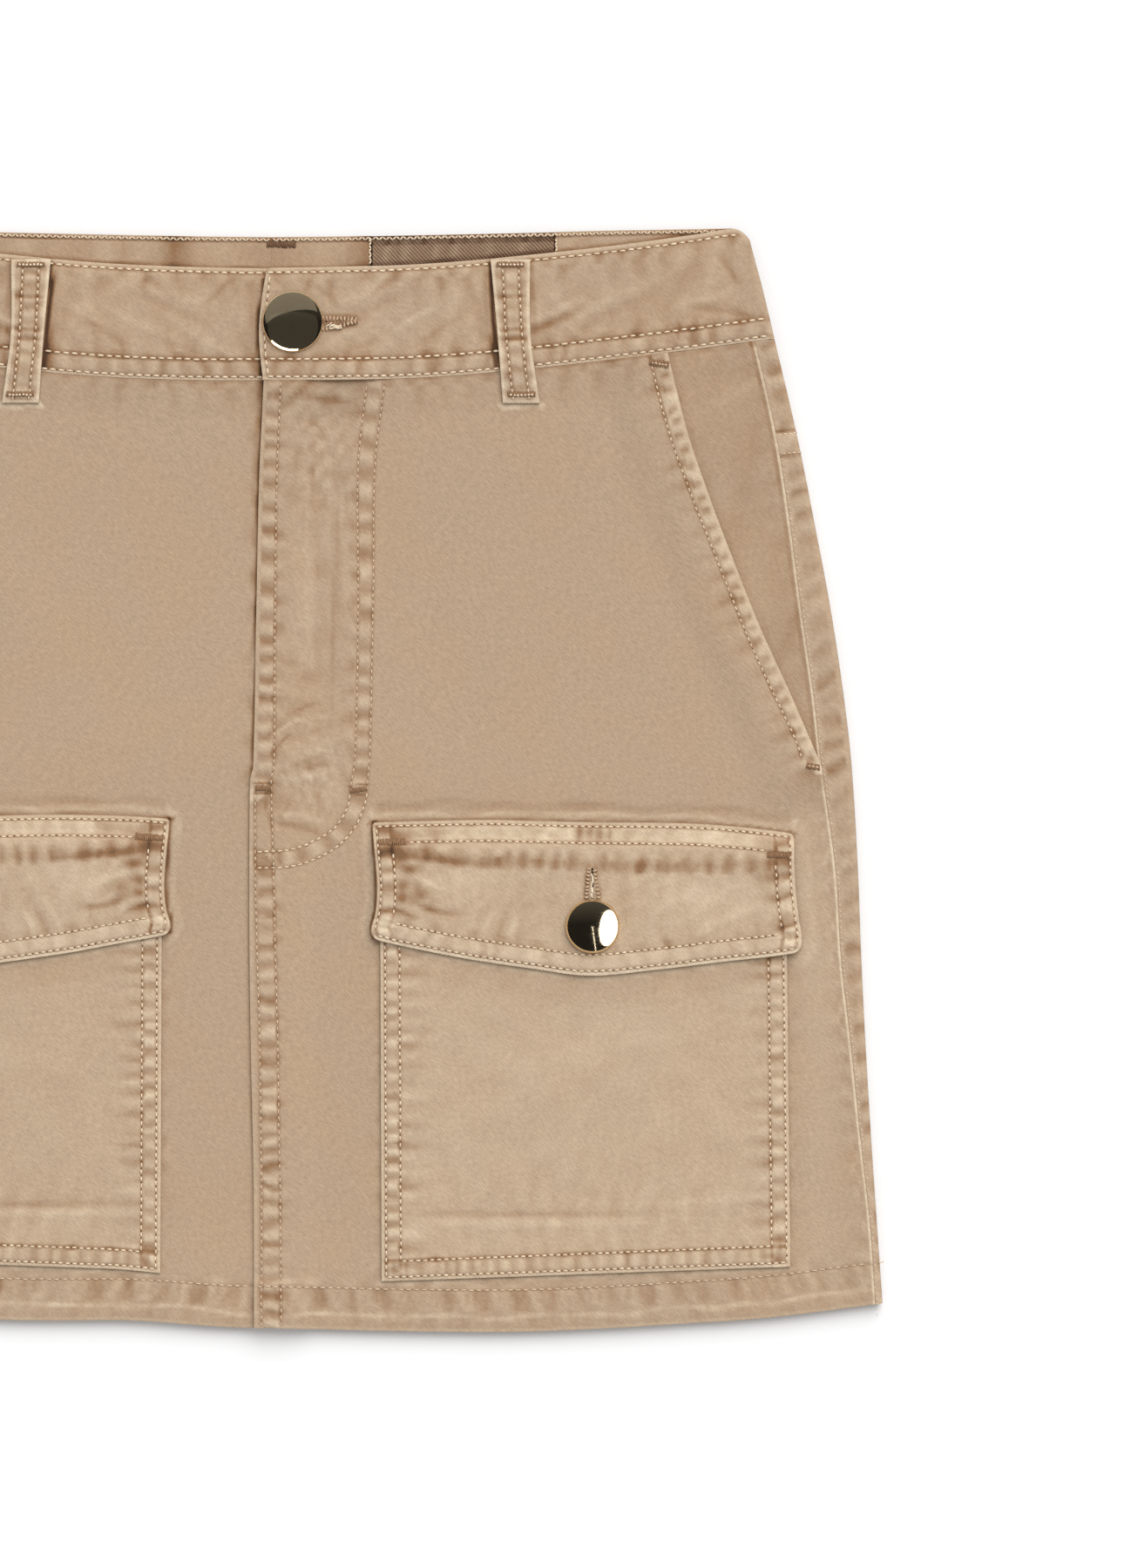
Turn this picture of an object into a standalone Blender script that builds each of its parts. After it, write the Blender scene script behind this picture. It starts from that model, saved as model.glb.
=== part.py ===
"""A cargo utility mini skirt in cotton twill, fastened and laid flat on its back.

Metres, +Z up. +Y points from the hem to the waist and +X to the side of the buttonhole.
The origin is on the surface the skirt lies on, under the middle of its outline.
The tables and sizes below are in millimetres, and MM turns them into metres.
"""

import math
from collections import namedtuple

import bmesh
import bpy
from mathutils import Vector

MM = 0.001

# Cloth and seams
CLOTH = 1.2  # one ply of twill
HEM_CLOTH = 2.0  # the hem, where the ply is turned up
BAND = 2.4  # the waistband, two plies and their turned edges
FLAP = 2.0  # a pocket flap, two plies
PATCH = 1.4  # a cargo pocket
LOOP = 1.2  # a belt loop
GAP = 0.3  # between two pieces where they are sewn together

# Outline
HEM_DEPTH = 16.8
SEAM_ROWS = [-160, -129, -97, -65, -33, -14, -4, 6, 30, 62, 94, 127, 141]  # rows that seams share
CORNER_X, CORNER_END_X = 168.0, 175.0  # the waistband's top edge turns down into the fold here
CORNER_DROP = 5.3
YOKE_CENTRE_Y, YOKE_SIDE_Y, YOKE_SIDE_X = 104.0, 127.6, 191.0
LEFT_RISE, LEFT_SPREAD = 4.2, 60.0  # the left half lies a little higher, most of all at the hem
LAY_TOP_Y, LAY_FOOT_Y = 146.0, -200.0

# Heights above the surface
BACK_BAND_Z = LOOP + GAP  # the back waistband rests on its belt loops
FRONT_BAND_Z = BACK_BAND_Z + BAND + GAP
FRONT_BAND_TOP = FRONT_BAND_Z + BAND
FRONT_TOP = 3.9  # outer face of the front, in the middle of the skirt
WAIST_RISE, WAIST_FALL = 1.1, 70.0
HEM_RISE, HEM_FALL = 0.6, 20.0
SIDE_RISE, SIDE_FALL = 1.2, 28.0
YOKE_LEVEL, YOKE_FALL = 11.0, 20.0  # the yoke leaves the waistband level, then drops to the surface

# Centre front
UNDERLAP_X = 25.0  # the waistband's hidden button end
OVERLAP_X = -5.0  # the waistband's buttonhole end lies on the button end from here to the right
SEAM_LAP = 11.0  # the left front runs this far under the right front
BAND_LIFT_END, BAND_LIFT_FALL = 27.0, 18.0
SEAM_LIFT_FALL = 14.0

# Hip pockets
MOUTH_FOOT_Y = 6.0
FACING_LAP = 12.0  # the facing runs this far under the front
FACING_FALL = 16.0

# Buttons and buttonholes
WAIST_BUTTON = (8.1, 166.8)
FLAP_BUTTON = (117.1, -53.2)
HOLE_LENGTH, HOLE_WIDTH, HOLE_END = 23.2, 3.0, 1.8
CUTTER_FOOT_Z, CUTTER_HEIGHT = 5.0, 20.0  # clear of the back waistband
SHANK_RADIUS = 1.1

# Cargo pockets
PATCH_INSIDE, PATCH_OUTSIDE = (39.7, 40.3), (187.6, 189.2)  # x at the top and at the bottom
PATCH_TOP_Y = -28.4
PATCH_BOTTOM = (-182.7, -177.3)  # y at the inside and at the outside corner
PATCH_PUFF = 0.6
FLAP_CLIMB_Y, FLAP_CLIMB = -19.0, 7.0  # where the flap climbs onto the pocket's top edge

# Belt loops
FRONT_LOOP_TOP_Y, FRONT_LOOP_FOOT_Y = 189.6, 137.3
BACK_LOOP_X, BACK_LOOP_CENTRE_X = 156.0, 3.5
BACK_LOOP_WIDTH = 14.0
BACK_LOOP_FOOT_Y, BACK_LOOP_BELOW_EDGE = 150.0, 1.5

# Darker facing let into the inside of the back waistband
INSET_X = (37.0, 103.0)
INSET_CLOTH = 1.0
INSET_MARGIN = 0.4
RECESS_LIP = 0.4

Side = namedtuple("Side", "y edge seam")
SIDES = [  # the fold that makes the outline, and the side seam that lies on the front
    Side(-190, 222.9, 220.2),
    Side(-160, 220.8, 218.1),
    Side(-129, 218.7, 214.6),
    Side(-97, 216.8, 211.3),
    Side(-65, 215.2, 207.7),
    Side(-33, 214.0, 205.7),
    Side(5, 211.7, 200.5),
    Side(30, 208.9, 197.8),
    Side(62, 204.1, 193.2),
    Side(94, 198.1, 189.0),
    Side(126, 191.7, 184.0),
    Side(162, 183.2, 175.8),
    Side(180, 178.9, 171.0),
    Side(189, 176.5, 169.0),
    Side(196, 174.7, 167.0),
]

Across = namedtuple("Across", "x front_top front_foot back_top back_foot hem")
LEVELS = [  # the waistband's edges and the hem, from the centre to the side
    Across(0, 186.4, 145.6, 198.0, 157.5, -199.6),
    Across(28, 186.9, 145.7, 198.3, 157.7, -200.5),
    Across(60, 188.3, 146.9, 198.9, 158.2, -201.1),
    Across(92, 191.1, 149.6, 199.6, 158.9, -201.1),
    Across(124, 194.6, 153.2, 200.4, 159.6, -199.8),
    Across(155, 198.8, 157.0, 200.9, 160.2, -197.9),
    Across(168, 200.8, 158.8, 201.1, 160.5, -197.1),
    Across(187, 201.4, 161.2, 201.1, 161.2, -195.4),
    Across(212, 201.4, 162.7, 201.1, 162.7, -192.2),
    Across(223, 201.4, 163.0, 201.1, 163.0, -190.8),
]

Edge = namedtuple("Edge", "y x")
FLY_EDGE = [  # the right front's edge: the fly down to y 5, then the lapped centre seam
    Edge(-201, -6.1),
    Edge(-145, -6.4),
    Edge(-96, -7.4),
    Edge(-50, -7.9),
    Edge(0, -7.6),
    Edge(5, -6.5),
    Edge(60, -5.4),
    Edge(113, -4.2),
    Edge(146, -2.5),
]
BAND_END = [  # the waistband's buttonhole end, which bows a little and turns over at its top corner
    Edge(147, -2.9),
    Edge(156, -3.9),
    Edge(165, -4.2),
    Edge(175, -3.2),
    Edge(182, -2.1),
    Edge(187, 0.3),
]
MOUTH = [  # the slanting mouth of a hip pocket
    Edge(6, 200.2),
    Edge(33, 188.6),
    Edge(56, 178.1),
    Edge(90, 164.7),
    Edge(104, 159.5),
    Edge(126, 152.0),
    Edge(156, 144.4),
]

FlapEdge = namedtuple("FlapEdge", "x y")
FLAP_TOP = [
    FlapEdge(38.4, -15.7),
    FlapEdge(80, -14.4),
    FlapEdge(114, -15.2),
    FlapEdge(159, -16.4),
    FlapEdge(190.2, -19.2),
]
FLAP_BOTTOM = [
    FlapEdge(36.4, -56.6),
    FlapEdge(58.6, -62.4),
    FlapEdge(95, -68.6),
    FlapEdge(116, -71.2),
    FlapEdge(141, -69.0),
    FlapEdge(165, -66.1),
    FlapEdge(193.0, -59.6),
]
FLAP_SIDES = [  # how far each side of the flap bows in between its corners
    Edge(0.0, 0.0),
    Edge(0.4, 1.6),
    Edge(0.8, 1.2),
    Edge(1.0, 0.0),
]

LoopCut = namedtuple("LoopCut", "up x width")
FRONT_LOOP = [  # middle and width of a front belt loop, by the share of the way up it
    LoopCut(0.0, 91.2, 13.4),
    LoopCut(0.47, 88.6, 12.0),
    LoopCut(1.0, 87.2, 14.4),
]

Fold = namedtuple("Fold", "x y turn length width rise")
FOLDS = [  # soft folds in the front: middle, direction in degrees, size, and height
    Fold(120, 100, 62, 120, 34, 0.5),
    Fold(60, 40, -72, 150, 40, -0.4),
    Fold(-100, 70, -58, 130, 36, 0.5),
    Fold(70, 0, -4, 190, 44, 0.5),
    Fold(-90, 4, 4, 190, 44, 0.5),
]


def ease(share):
    """0 up to 0, 1 from 1 on, and a smooth step between."""
    share = min(1.0, max(0.0, share))
    return share * share * (3 - 2 * share)


def mix(a, b, share):
    return a + (b - a) * share


def read(table, column, at):
    """A column of a table at a value of its first column, on a smooth curve through the rows."""
    keys = [row[0] for row in table]
    values = [getattr(row, column) for row in table]
    if at <= keys[0]:
        return values[0]
    if at >= keys[-1]:
        return values[-1]
    i = max(k for k in range(len(keys) - 1) if keys[k] <= at)
    slopes = []
    for k in (i, i + 1):
        before, after = max(k - 1, 0), min(k + 1, len(keys) - 1)
        slopes.append((values[after] - values[before]) / (keys[after] - keys[before]))
    width = keys[i + 1] - keys[i]
    u = (at - keys[i]) / width
    return (
        values[i] * (2 * u**3 - 3 * u**2 + 1)
        + values[i + 1] * (3 * u**2 - 2 * u**3)
        + slopes[0] * width * (u**3 - 2 * u**2 + u)
        + slopes[1] * width * (u**3 - u**2)
    )


def level(column, x):
    return read(LEVELS, column, abs(x))


def yoke_line(x):
    return mix(YOKE_CENTRE_Y, YOKE_SIDE_Y, abs(x) / YOKE_SIDE_X)


def mouth_x(y):
    return read(MOUTH, "x", y)


def fly_x(y):
    return read(FLY_EDGE, "x", y)


def panel_ply(x, y):
    """Thickness of a panel, which is turned up in the hem."""
    above_hem = y - level("hem", x)
    return mix(HEM_CLOTH, CLOTH, ease(above_hem - HEM_DEPTH))


def folds(x, y):
    """Height that the soft folds add to the front."""
    total = 0.0
    for fold in FOLDS:
        turn = math.radians(fold.turn)
        dx, dy = x - fold.x, y - fold.y
        along = dx * math.cos(turn) + dy * math.sin(turn)
        across = dy * math.cos(turn) - dx * math.sin(turn)
        reach = (2 * along / fold.length) ** 2 + (2 * across / fold.width) ** 2
        total += fold.rise * math.exp(-1.4 * reach)
    return total


def front_face(x, y):
    """Height of a front panel's outer face, where nothing lies under it but the back."""
    below_waist = level("front_foot", x) - y
    above_hem = y - level("hem", x)
    down = below_waist / (below_waist + above_hem)
    from_fold = read(SIDES, "edge", y) - abs(x)
    height = FRONT_TOP + WAIST_RISE * (1 - ease(below_waist / WAIST_FALL))
    height += HEM_RISE * (1 - ease((above_hem - HEM_DEPTH - 1) / HEM_FALL))
    height += SIDE_RISE * math.sin(math.pi * min(1, max(0, down))) * (1 - ease(from_fold / SIDE_FALL))
    return height + folds(x, y) * ease(from_fold / SIDE_FALL) * ease(below_waist / 10) * ease(above_hem / 24)


def mouth_lift(x, y):
    """How far a front is lifted by the hip facing that runs under its pocket mouth."""
    across = ease((abs(x) - mouth_x(y) + FACING_LAP + 1 + FACING_FALL) / FACING_FALL)
    down = ease((y - MOUTH_FOOT_Y + 4 + FACING_FALL) / FACING_FALL)
    return (CLOTH + GAP) * across * down


def seam_lift(x, y):
    """How far the right front is lifted at the centre by the left front under it."""
    past = x - fly_x(y) - SEAM_LAP - 1
    return (panel_ply(x, y) + GAP) * (1 - ease(past / SEAM_LIFT_FALL))


def right_face(x, y):
    return front_face(x, y) + mouth_lift(x, y) + seam_lift(x, y)


def left_face(x, y):
    return front_face(x, y) + mouth_lift(x, y)


def band_face(x, y):
    """Outer face of the front waistband. The buttonhole end lies on the button end."""
    if x < OVERLAP_X:
        return FRONT_BAND_TOP
    return FRONT_BAND_TOP + (BAND + GAP) * (1 - ease((x - BAND_LIFT_END) / BAND_LIFT_FALL))


def back_face(x, y):
    """Height of the back's outer face, which is its underside."""
    return BACK_BAND_Z * ease((y - level("back_foot", x) + YOKE_LEVEL + YOKE_FALL) / YOKE_FALL)


def lay(x, y, z):
    """A point of the skirt in metres, with the left half moved up as it lies."""
    down = min(1.0, max(0.0, (LAY_TOP_Y - y) / (LAY_TOP_Y - LAY_FOOT_Y)))
    return Vector((x, y + LEFT_RISE * ease(-x / LEFT_SPREAD) * down, z)) * MM


def spread(start, end, count):
    return [mix(start, end, i / count) for i in range(count + 1)]


def material(name, colour, roughness, metallic=0.0):
    made = bpy.data.materials.get(name)
    if made is None:
        made = bpy.data.materials.new(name)
        made.use_nodes = True
        shader = made.node_tree.nodes["Principled BSDF"]
        shader.inputs["Base Color"].default_value = (*colour, 1.0)
        shader.inputs["Roughness"].default_value = roughness
        shader.inputs["Metallic"].default_value = metallic
        made.diffuse_color = (*colour, 1.0)
    return made


def twill():
    return material("tan_twill", (0.51, 0.36, 0.24), 0.9)


def twill_reverse():
    return material("brown_twill", (0.27, 0.17, 0.11), 0.92)


def brass():
    return material("pale_gold_metal", (0.86, 0.74, 0.50), 0.18, 1.0)


def finish(name, bm, finish_material, smooth_angle):
    bmesh.ops.recalc_face_normals(bm, faces=bm.faces)
    mesh = bpy.data.meshes.new(name)
    bm.to_mesh(mesh)
    bm.free()
    mesh.materials.append(finish_material)
    mesh.shade_smooth()
    mesh.set_sharp_from_angle(angle=math.radians(smooth_angle))
    made = bpy.data.objects.new(name, mesh)
    bpy.context.collection.objects.link(made)
    return made


def wall(name, columns, rows, place, cloth=None):
    """A closed wall of cloth. A grid is laid on the outer face, and pushed through to the inner face.

    columns and rows are the values that place(column, row) takes. It returns the outer and the
    inner point, in millimetres.
    """
    bm = bmesh.new()
    last_column, last_row = len(columns) - 1, len(rows) - 1
    bmesh.ops.create_grid(bm, x_segments=last_column, y_segments=last_row, size=1.0)
    inner_points = {}
    for vert in bm.verts:
        i = round((vert.co.x + 1) / 2 * last_column)
        j = round((vert.co.y + 1) / 2 * last_row)
        outer, inner_points[vert.index] = place(columns[i], rows[j])
        vert.co = lay(*outer)
    outer_verts = list(bm.verts)
    order = {tuple(vert.co): vert.index for vert in outer_verts}
    pushed = bmesh.ops.extrude_face_region(bm, geom=list(bm.faces))["geom"]
    for item in pushed:
        if isinstance(item, bmesh.types.BMVert):
            item.co = lay(*inner_points[order[tuple(item.co)]])
    return finish(name, bm, cloth or twill(), 40)


def patch_of(bottom, top, left, right):
    """A surface between four edges that meet at their ends, each a function from 0 to 1 to (x, y)."""
    corners = [bottom(0), bottom(1), top(0), top(1)]

    def point(s, t):
        edges = [bottom(s), top(s), left(t), right(t)]
        x, y = (
            (1 - t) * edges[0][k]
            + t * edges[1][k]
            + (1 - s) * edges[2][k]
            + s * edges[3][k]
            - (1 - s) * (1 - t) * corners[0][k]
            - s * (1 - t) * corners[1][k]
            - (1 - s) * t * corners[2][k]
            - s * t * corners[3][k]
            for k in (0, 1)
        )
        return x, y

    return point


def laid(point, face, thickness, side=1):
    """place() for a piece whose outer face has the height face(x, y)."""

    def place(s, t):
        x, y = point(s, t)
        x *= side
        z = face(x, y)
        return (x, y, z), (x, y, z - thickness(x, y))

    return place


def front_outline(inside_x):
    """A front's surface, from its centre edge to the side seam and pocket mouth, and its rows."""
    hem_in, hem_out = inside_x(level("hem", 0)), read(SIDES, "seam", level("hem", 222)) - GAP / 2
    waist_in, waist_out = inside_x(level("front_foot", 0)), MOUTH[-1].x
    foot_y = level("hem", hem_out)
    waist_y = level("front_foot", waist_out) - GAP

    def out_x(y):
        if y >= MOUTH_FOOT_Y:
            return mouth_x(y)
        return read(SIDES, "seam", y) - GAP / 2

    def across(start, end, column, drop):
        def edge(s):
            x = mix(start, end, s)
            return x, level(column, x) - drop

        return edge

    def up(start_y, end_y, edge_x):
        def edge(t):
            y = mix(start_y, end_y, t)
            return edge_x(y), y

        return edge

    hem_edge = across(hem_in, hem_out, "hem", 0)
    waist_edge = across(waist_in, waist_out, "front_foot", GAP)
    centre = up(hem_edge(0)[1], waist_edge(0)[1], inside_x)
    outer = up(foot_y, waist_y, out_x)
    rows = [(y - foot_y) / (waist_y - foot_y) for y in seam_rows(foot_y, waist_y)]
    return patch_of(hem_edge, waist_edge, centre, outer), rows


def seam_rows(foot_y, end_y):
    """Heights at which pieces have a row of points where they meet along the side seam."""
    hem = [foot_y, foot_y + HEM_DEPTH * 0.6, foot_y + HEM_DEPTH, foot_y + HEM_DEPTH + 1]
    return hem + [y for y in SEAM_ROWS if y < end_y - 4] + [end_y]


def right_front():
    point, rows = front_outline(fly_x)
    columns = [0, 0.03, 0.06, 0.085, 0.11, 0.14, 0.21, 0.3, 0.4, 0.5, 0.6, 0.7, 0.78, 0.85, 0.9, 0.95, 1.0]
    wall("front_right", columns, rows, laid(point, right_face, panel_ply))


def left_front():
    def inside_x(y):
        return -(fly_x(y) + SEAM_LAP)

    point, rows = front_outline(inside_x)
    columns = [0, 0.1, 0.2, 0.3, 0.4, 0.5, 0.6, 0.7, 0.78, 0.85, 0.9, 0.95, 1.0]
    wall("front_left", columns, rows, laid(point, left_face, panel_ply, side=-1))


def hip_facing(name, side):
    """The facing behind a pocket mouth, from under the front to the side seam."""
    foot_y = MOUTH_FOOT_Y - 2

    def hidden_edge(t):
        y = mix(foot_y, level("front_foot", MOUTH[-1].x - FACING_LAP) - GAP, t)
        return mouth_x(y) - FACING_LAP, y

    def seam_edge(t):
        y = mix(foot_y, level("front_foot", 176) - GAP, t)
        return read(SIDES, "seam", y) - GAP / 2, y

    def foot_edge(s):
        return mix(hidden_edge(0)[0], seam_edge(0)[0], s), foot_y

    def waist_edge(s):
        x = mix(hidden_edge(1)[0], seam_edge(1)[0], s)
        return x, level("front_foot", x) - GAP

    point = patch_of(foot_edge, waist_edge, hidden_edge, seam_edge)
    top_y = seam_edge(1)[1]
    rows = [foot_y] + [y for y in SEAM_ROWS if foot_y < y < top_y - 4] + [top_y]
    place = laid(point, front_face, lambda x, y: CLOTH, side)
    wall(name, spread(0, 1, 5), [(y - foot_y) / (top_y - foot_y) for y in rows], place)


def seam_shares(lower, upper, rows):
    """The shares of the way from a folded piece's lower to its upper edge, for rows of the side seam."""
    shares = []
    for y in rows:
        x = read(SIDES, "seam", y) + GAP / 2
        shares.append(min(1.0, max(0.0, (y - lower(x, True)) / (upper(x, True) - lower(x, True)))))
    return shares


def folded(name, side, lower, upper, back_x, end_x, columns_back, columns_front, rows, shape):
    """A piece that runs from the back round the side fold and onto the front.

    lower and upper give its edges' y from (x, on_front). back_x gives a back column's x from the
    column and the x where the fold starts, and end_x the x where the piece ends on the front. shape
    gives, for (x, y), the back's outer height, the front's outer height and the thickness.
    """
    back_heights, front_heights, thickness = shape
    turn_steps = 6
    columns = [("back", c) for c in columns_back]
    columns += [("turn", k / turn_steps) for k in range(1, turn_steps)]
    columns += [("front", c) for c in columns_front]

    def place(column, t):
        run, share = column
        edge = YOKE_SIDE_X
        for _ in range(3):
            fold_y = mix(lower(edge, True), upper(edge, True), t)
            edge = read(SIDES, "edge", fold_y)
        bottom = back_heights(edge, fold_y)
        top = front_heights(side * (edge - 2), fold_y)
        radius = (top - bottom) / 2
        turn_x = edge - radius
        if run == "back":
            x = back_x(share, turn_x)
            y = mix(lower(x, False), upper(x, False), t)
            z = back_heights(x, y)
            return (side * x, y, z), (side * x, y, z + thickness(x, y, False))
        if run == "front":
            end = edge
            for _ in range(4):
                end = end_x(mix(lower(end, True), upper(end, True), t))
            x = mix(turn_x, end, share)
            y = mix(lower(x, True), upper(x, True), t)
            z = front_heights(side * x, y)
            return (side * x, y, z), (side * x, y, z - thickness(x, y, True))
        angle = math.pi * (share - 0.5)
        points = []
        for reach in (radius, radius - thickness(edge, fold_y, True)):
            x = turn_x + reach * math.cos(angle)
            y = mix(lower(x, share > 0.5), upper(x, share > 0.5), t)
            points.append((side * x, y, bottom + radius + reach * math.sin(angle)))
        return points

    wall(name, columns, rows, place)


def back_panel(name, side):
    """A back, from the centre back seam under the skirt to the side seam on the front."""
    def lower(x, on_front):
        return level("hem", x)

    def upper(x, on_front):
        return yoke_line(x) - GAP / 2

    seam_x = read(SIDES, "seam", level("hem", 220))
    seam_ys = seam_rows(level("hem", seam_x), yoke_line(YOKE_SIDE_X) - GAP / 2)
    folded(
        name,
        side,
        lower,
        upper,
        back_x=lambda share, turn_x: mix(GAP / 2, turn_x, share),
        end_x=lambda y: read(SIDES, "seam", y) + GAP / 2,
        columns_back=spread(0, 1, 6),
        columns_front=[0, 0.5, 1.0],
        rows=seam_shares(lower, upper, seam_ys),
        shape=(back_face, front_face, lambda x, y, on_front: panel_ply(x, y)),
    )


def yoke(name, side):
    """A back yoke, from the centre back to the side seam, between the back and the waistband."""
    def lower(x, on_front):
        return yoke_line(x) + GAP / 2

    def upper(x, on_front):
        return level("front_foot" if on_front else "back_foot", x) - GAP

    folded(
        name,
        side,
        lower,
        upper,
        back_x=lambda share, turn_x: mix(GAP / 2, turn_x, share),
        end_x=lambda y: read(SIDES, "seam", y) + GAP / 2,
        columns_back=spread(0, 1, 6),
        columns_front=[0, 0.5, 1.0],
        rows=spread(0, 1, 5),
        shape=(back_face, front_face, lambda x, y, on_front: CLOTH),
    )


def band_top(x, on_front):
    corner = min(1.0, max(0.0, (x - CORNER_X) / (CORNER_END_X - CORNER_X)))
    return level("front_top" if on_front else "back_top", x) - CORNER_DROP * corner**2


def waistband(name, side, end_x, inset):
    """Half of the waistband, from the centre back round the side to its end at the centre front."""
    recess = INSET_CLOTH + INSET_MARGIN
    left_x, right_x = INSET_X[0] - INSET_MARGIN, INSET_X[1] + INSET_MARGIN

    def thickness(x, y, on_front):
        in_recess = inset and not on_front and left_x - 0.05 < x < right_x + 0.05
        return BAND - recess if in_recess else BAND

    back_columns = [GAP / 2, 37, 70, 103, 130, 150, 163, 167, 170, CORNER_END_X * 2]
    if inset:
        marks = [left_x - RECESS_LIP, left_x, (left_x + right_x) / 2, right_x, right_x + RECESS_LIP]
        back_columns = back_columns[:1] + marks + back_columns[4:]
    near_fold, near_centre = [0, 0.015, 0.035, 0.06], [0.68, 0.74, 0.78, 0.82, 0.86, 0.91, 1]
    folded(
        name,
        side,
        lower=lambda x, on_front: level("front_foot" if on_front else "back_foot", x),
        upper=band_top,
        back_x=min,
        end_x=end_x,
        columns_back=back_columns,
        columns_front=near_fold + [0.12, 0.24, 0.36, 0.48, 0.6] + near_centre,
        rows=spread(0, 1, 5),
        shape=(lambda x, y: BACK_BAND_Z, band_face if side > 0 else lambda x, y: FRONT_BAND_TOP, thickness),
    )


def facing_inset():
    """The strip of darker twill let into the inside of the back waistband."""
    low = BACK_BAND_Z + BAND - INSET_CLOTH - INSET_MARGIN + GAP

    def point(s, t):
        x = mix(*INSET_X, s)
        return x, mix(level("back_foot", x) + 1.5, level("back_top", x) - 1.5, t)

    place = laid(point, lambda x, y: low + INSET_CLOTH, lambda x, y: INSET_CLOTH)
    wall("band_facing_inset", spread(0, 1, 3), spread(0, 1, 2), place, twill_reverse())


def patch_face(x, y):
    """Outer face of a cargo pocket, which puffs a little in its middle."""
    across = (abs(x) - PATCH_INSIDE[0]) / (PATCH_OUTSIDE[0] - PATCH_INSIDE[0])
    down = (PATCH_TOP_Y - y) / (PATCH_TOP_Y - PATCH_BOTTOM[0])
    crown = math.sin(math.pi * min(1, max(0, across))) * math.sin(math.pi * min(1, max(0, down)))
    below = right_face(x, y) if x > 0 else left_face(x, y)
    return below + GAP + PATCH + PATCH_PUFF * max(0.0, crown)


def cargo_pocket(name, side):
    def point(s, t):
        bottom_x, top_x = (mix(PATCH_INSIDE[k], PATCH_OUTSIDE[k], s) for k in (1, 0))
        return mix(bottom_x, top_x, t), mix(mix(*PATCH_BOTTOM, s), PATCH_TOP_Y, t)

    place = laid(point, patch_face, lambda x, y: PATCH, side)
    wall(name, spread(0, 1, 10), spread(0, 1, 10), place)


def flap_face(x, y):
    below = right_face(x, y) if x > 0 else left_face(x, y)
    climb = ease((FLAP_CLIMB_Y - y) / FLAP_CLIMB)
    return mix(below, patch_face(x, y), climb) + GAP + FLAP


def flap_point(s, t):
    """A point of the right flap, s from its inside to its outside edge and t from its foot up."""
    foot_x = mix(FLAP_BOTTOM[0].x, FLAP_BOTTOM[-1].x, s)
    top_x = mix(FLAP_TOP[0].x, FLAP_TOP[-1].x, s)
    bow = read(FLAP_SIDES, "x", 1 - t) * (1 - 2 * s) * 0.6
    y = mix(read(FLAP_BOTTOM, "y", foot_x), read(FLAP_TOP, "y", top_x), t)
    return mix(foot_x, top_x, t) + bow, y


def cut_slot(target, centre, direction, side=1):
    """Cuts a buttonhole, which starts just past the shank and runs along direction."""
    middle = [centre[k] + direction[k] * (HOLE_LENGTH / 2 - HOLE_END) for k in (0, 1)]
    bpy.ops.mesh.primitive_cylinder_add(vertices=12, radius=HOLE_WIDTH / 2 * MM, depth=CUTTER_HEIGHT * MM)
    cutter = bpy.context.object
    half_run = (HOLE_LENGTH - HOLE_WIDTH) / 2
    for vert in cutter.data.vertices:
        x, y, z = vert.co / MM
        x += math.copysign(half_run, x) if abs(x) > 0.01 else 0.0
        vert.co = Vector((x * direction[0] - y * direction[1], x * direction[1] + y * direction[0], z)) * MM
    cutter.location = lay(side * middle[0], middle[1], CUTTER_FOOT_Z + CUTTER_HEIGHT / 2)
    cutter.name = target.name + "_slot"
    cutter.hide_render = True
    cutter.display_type = "WIRE"
    cut = target.modifiers.new("buttonhole", "BOOLEAN")
    cut.operation = "DIFFERENCE"
    cut.object = cutter


def pocket_flap(name, side):
    place = laid(flap_point, flap_face, lambda x, y: FLAP, side)
    made = wall(name, spread(0, 1, 12), [0, 0.2, 0.4, 0.6, 0.75, 0.82, 0.88, 0.94, 1.0], place)
    cut_slot(made, FLAP_BUTTON, (0, 1), side)


def belt_loop(name, middle, width, foot_y, top_y, face, side=1):
    """A belt loop from its tacked foot up, LOOP thick on the face under it.

    middle and width are functions of the share of the way up it.
    """

    def point(s, t):
        return middle(t) + (s - 0.5) * width(t), mix(foot_y, top_y, t)

    rows = [0, 0.06, 0.12, 0.16, 0.2, 0.26, 0.4, 0.6, 0.8, 1.0]
    wall(name, spread(0, 1, 2), rows, laid(point, face, lambda x, y: LOOP, side))


def front_loop(name, side):
    belt_loop(
        name,
        lambda up: read(FRONT_LOOP, "x", up),
        lambda up: read(FRONT_LOOP, "width", up),
        FRONT_LOOP_FOOT_Y,
        FRONT_LOOP_TOP_Y,
        front_loop_face,
        side,
    )


def back_loop(name, x):
    top_y = level("back_top", x) - BACK_LOOP_BELOW_EDGE
    belt_loop(name, lambda up: x, lambda up: BACK_LOOP_WIDTH, BACK_LOOP_FOOT_Y, top_y, lambda x, y: LOOP)


def front_loop_face(x, y):
    """Height of a front loop's outer face, down over the waistband's foot onto the front."""
    onto_band = ease((y - level("front_foot", x) + 4.5) / 4.0)
    below = right_face(x, y) if x > 0 else left_face(x, y)
    return mix(below, band_face(x, y), onto_band) + GAP + LOOP


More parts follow.
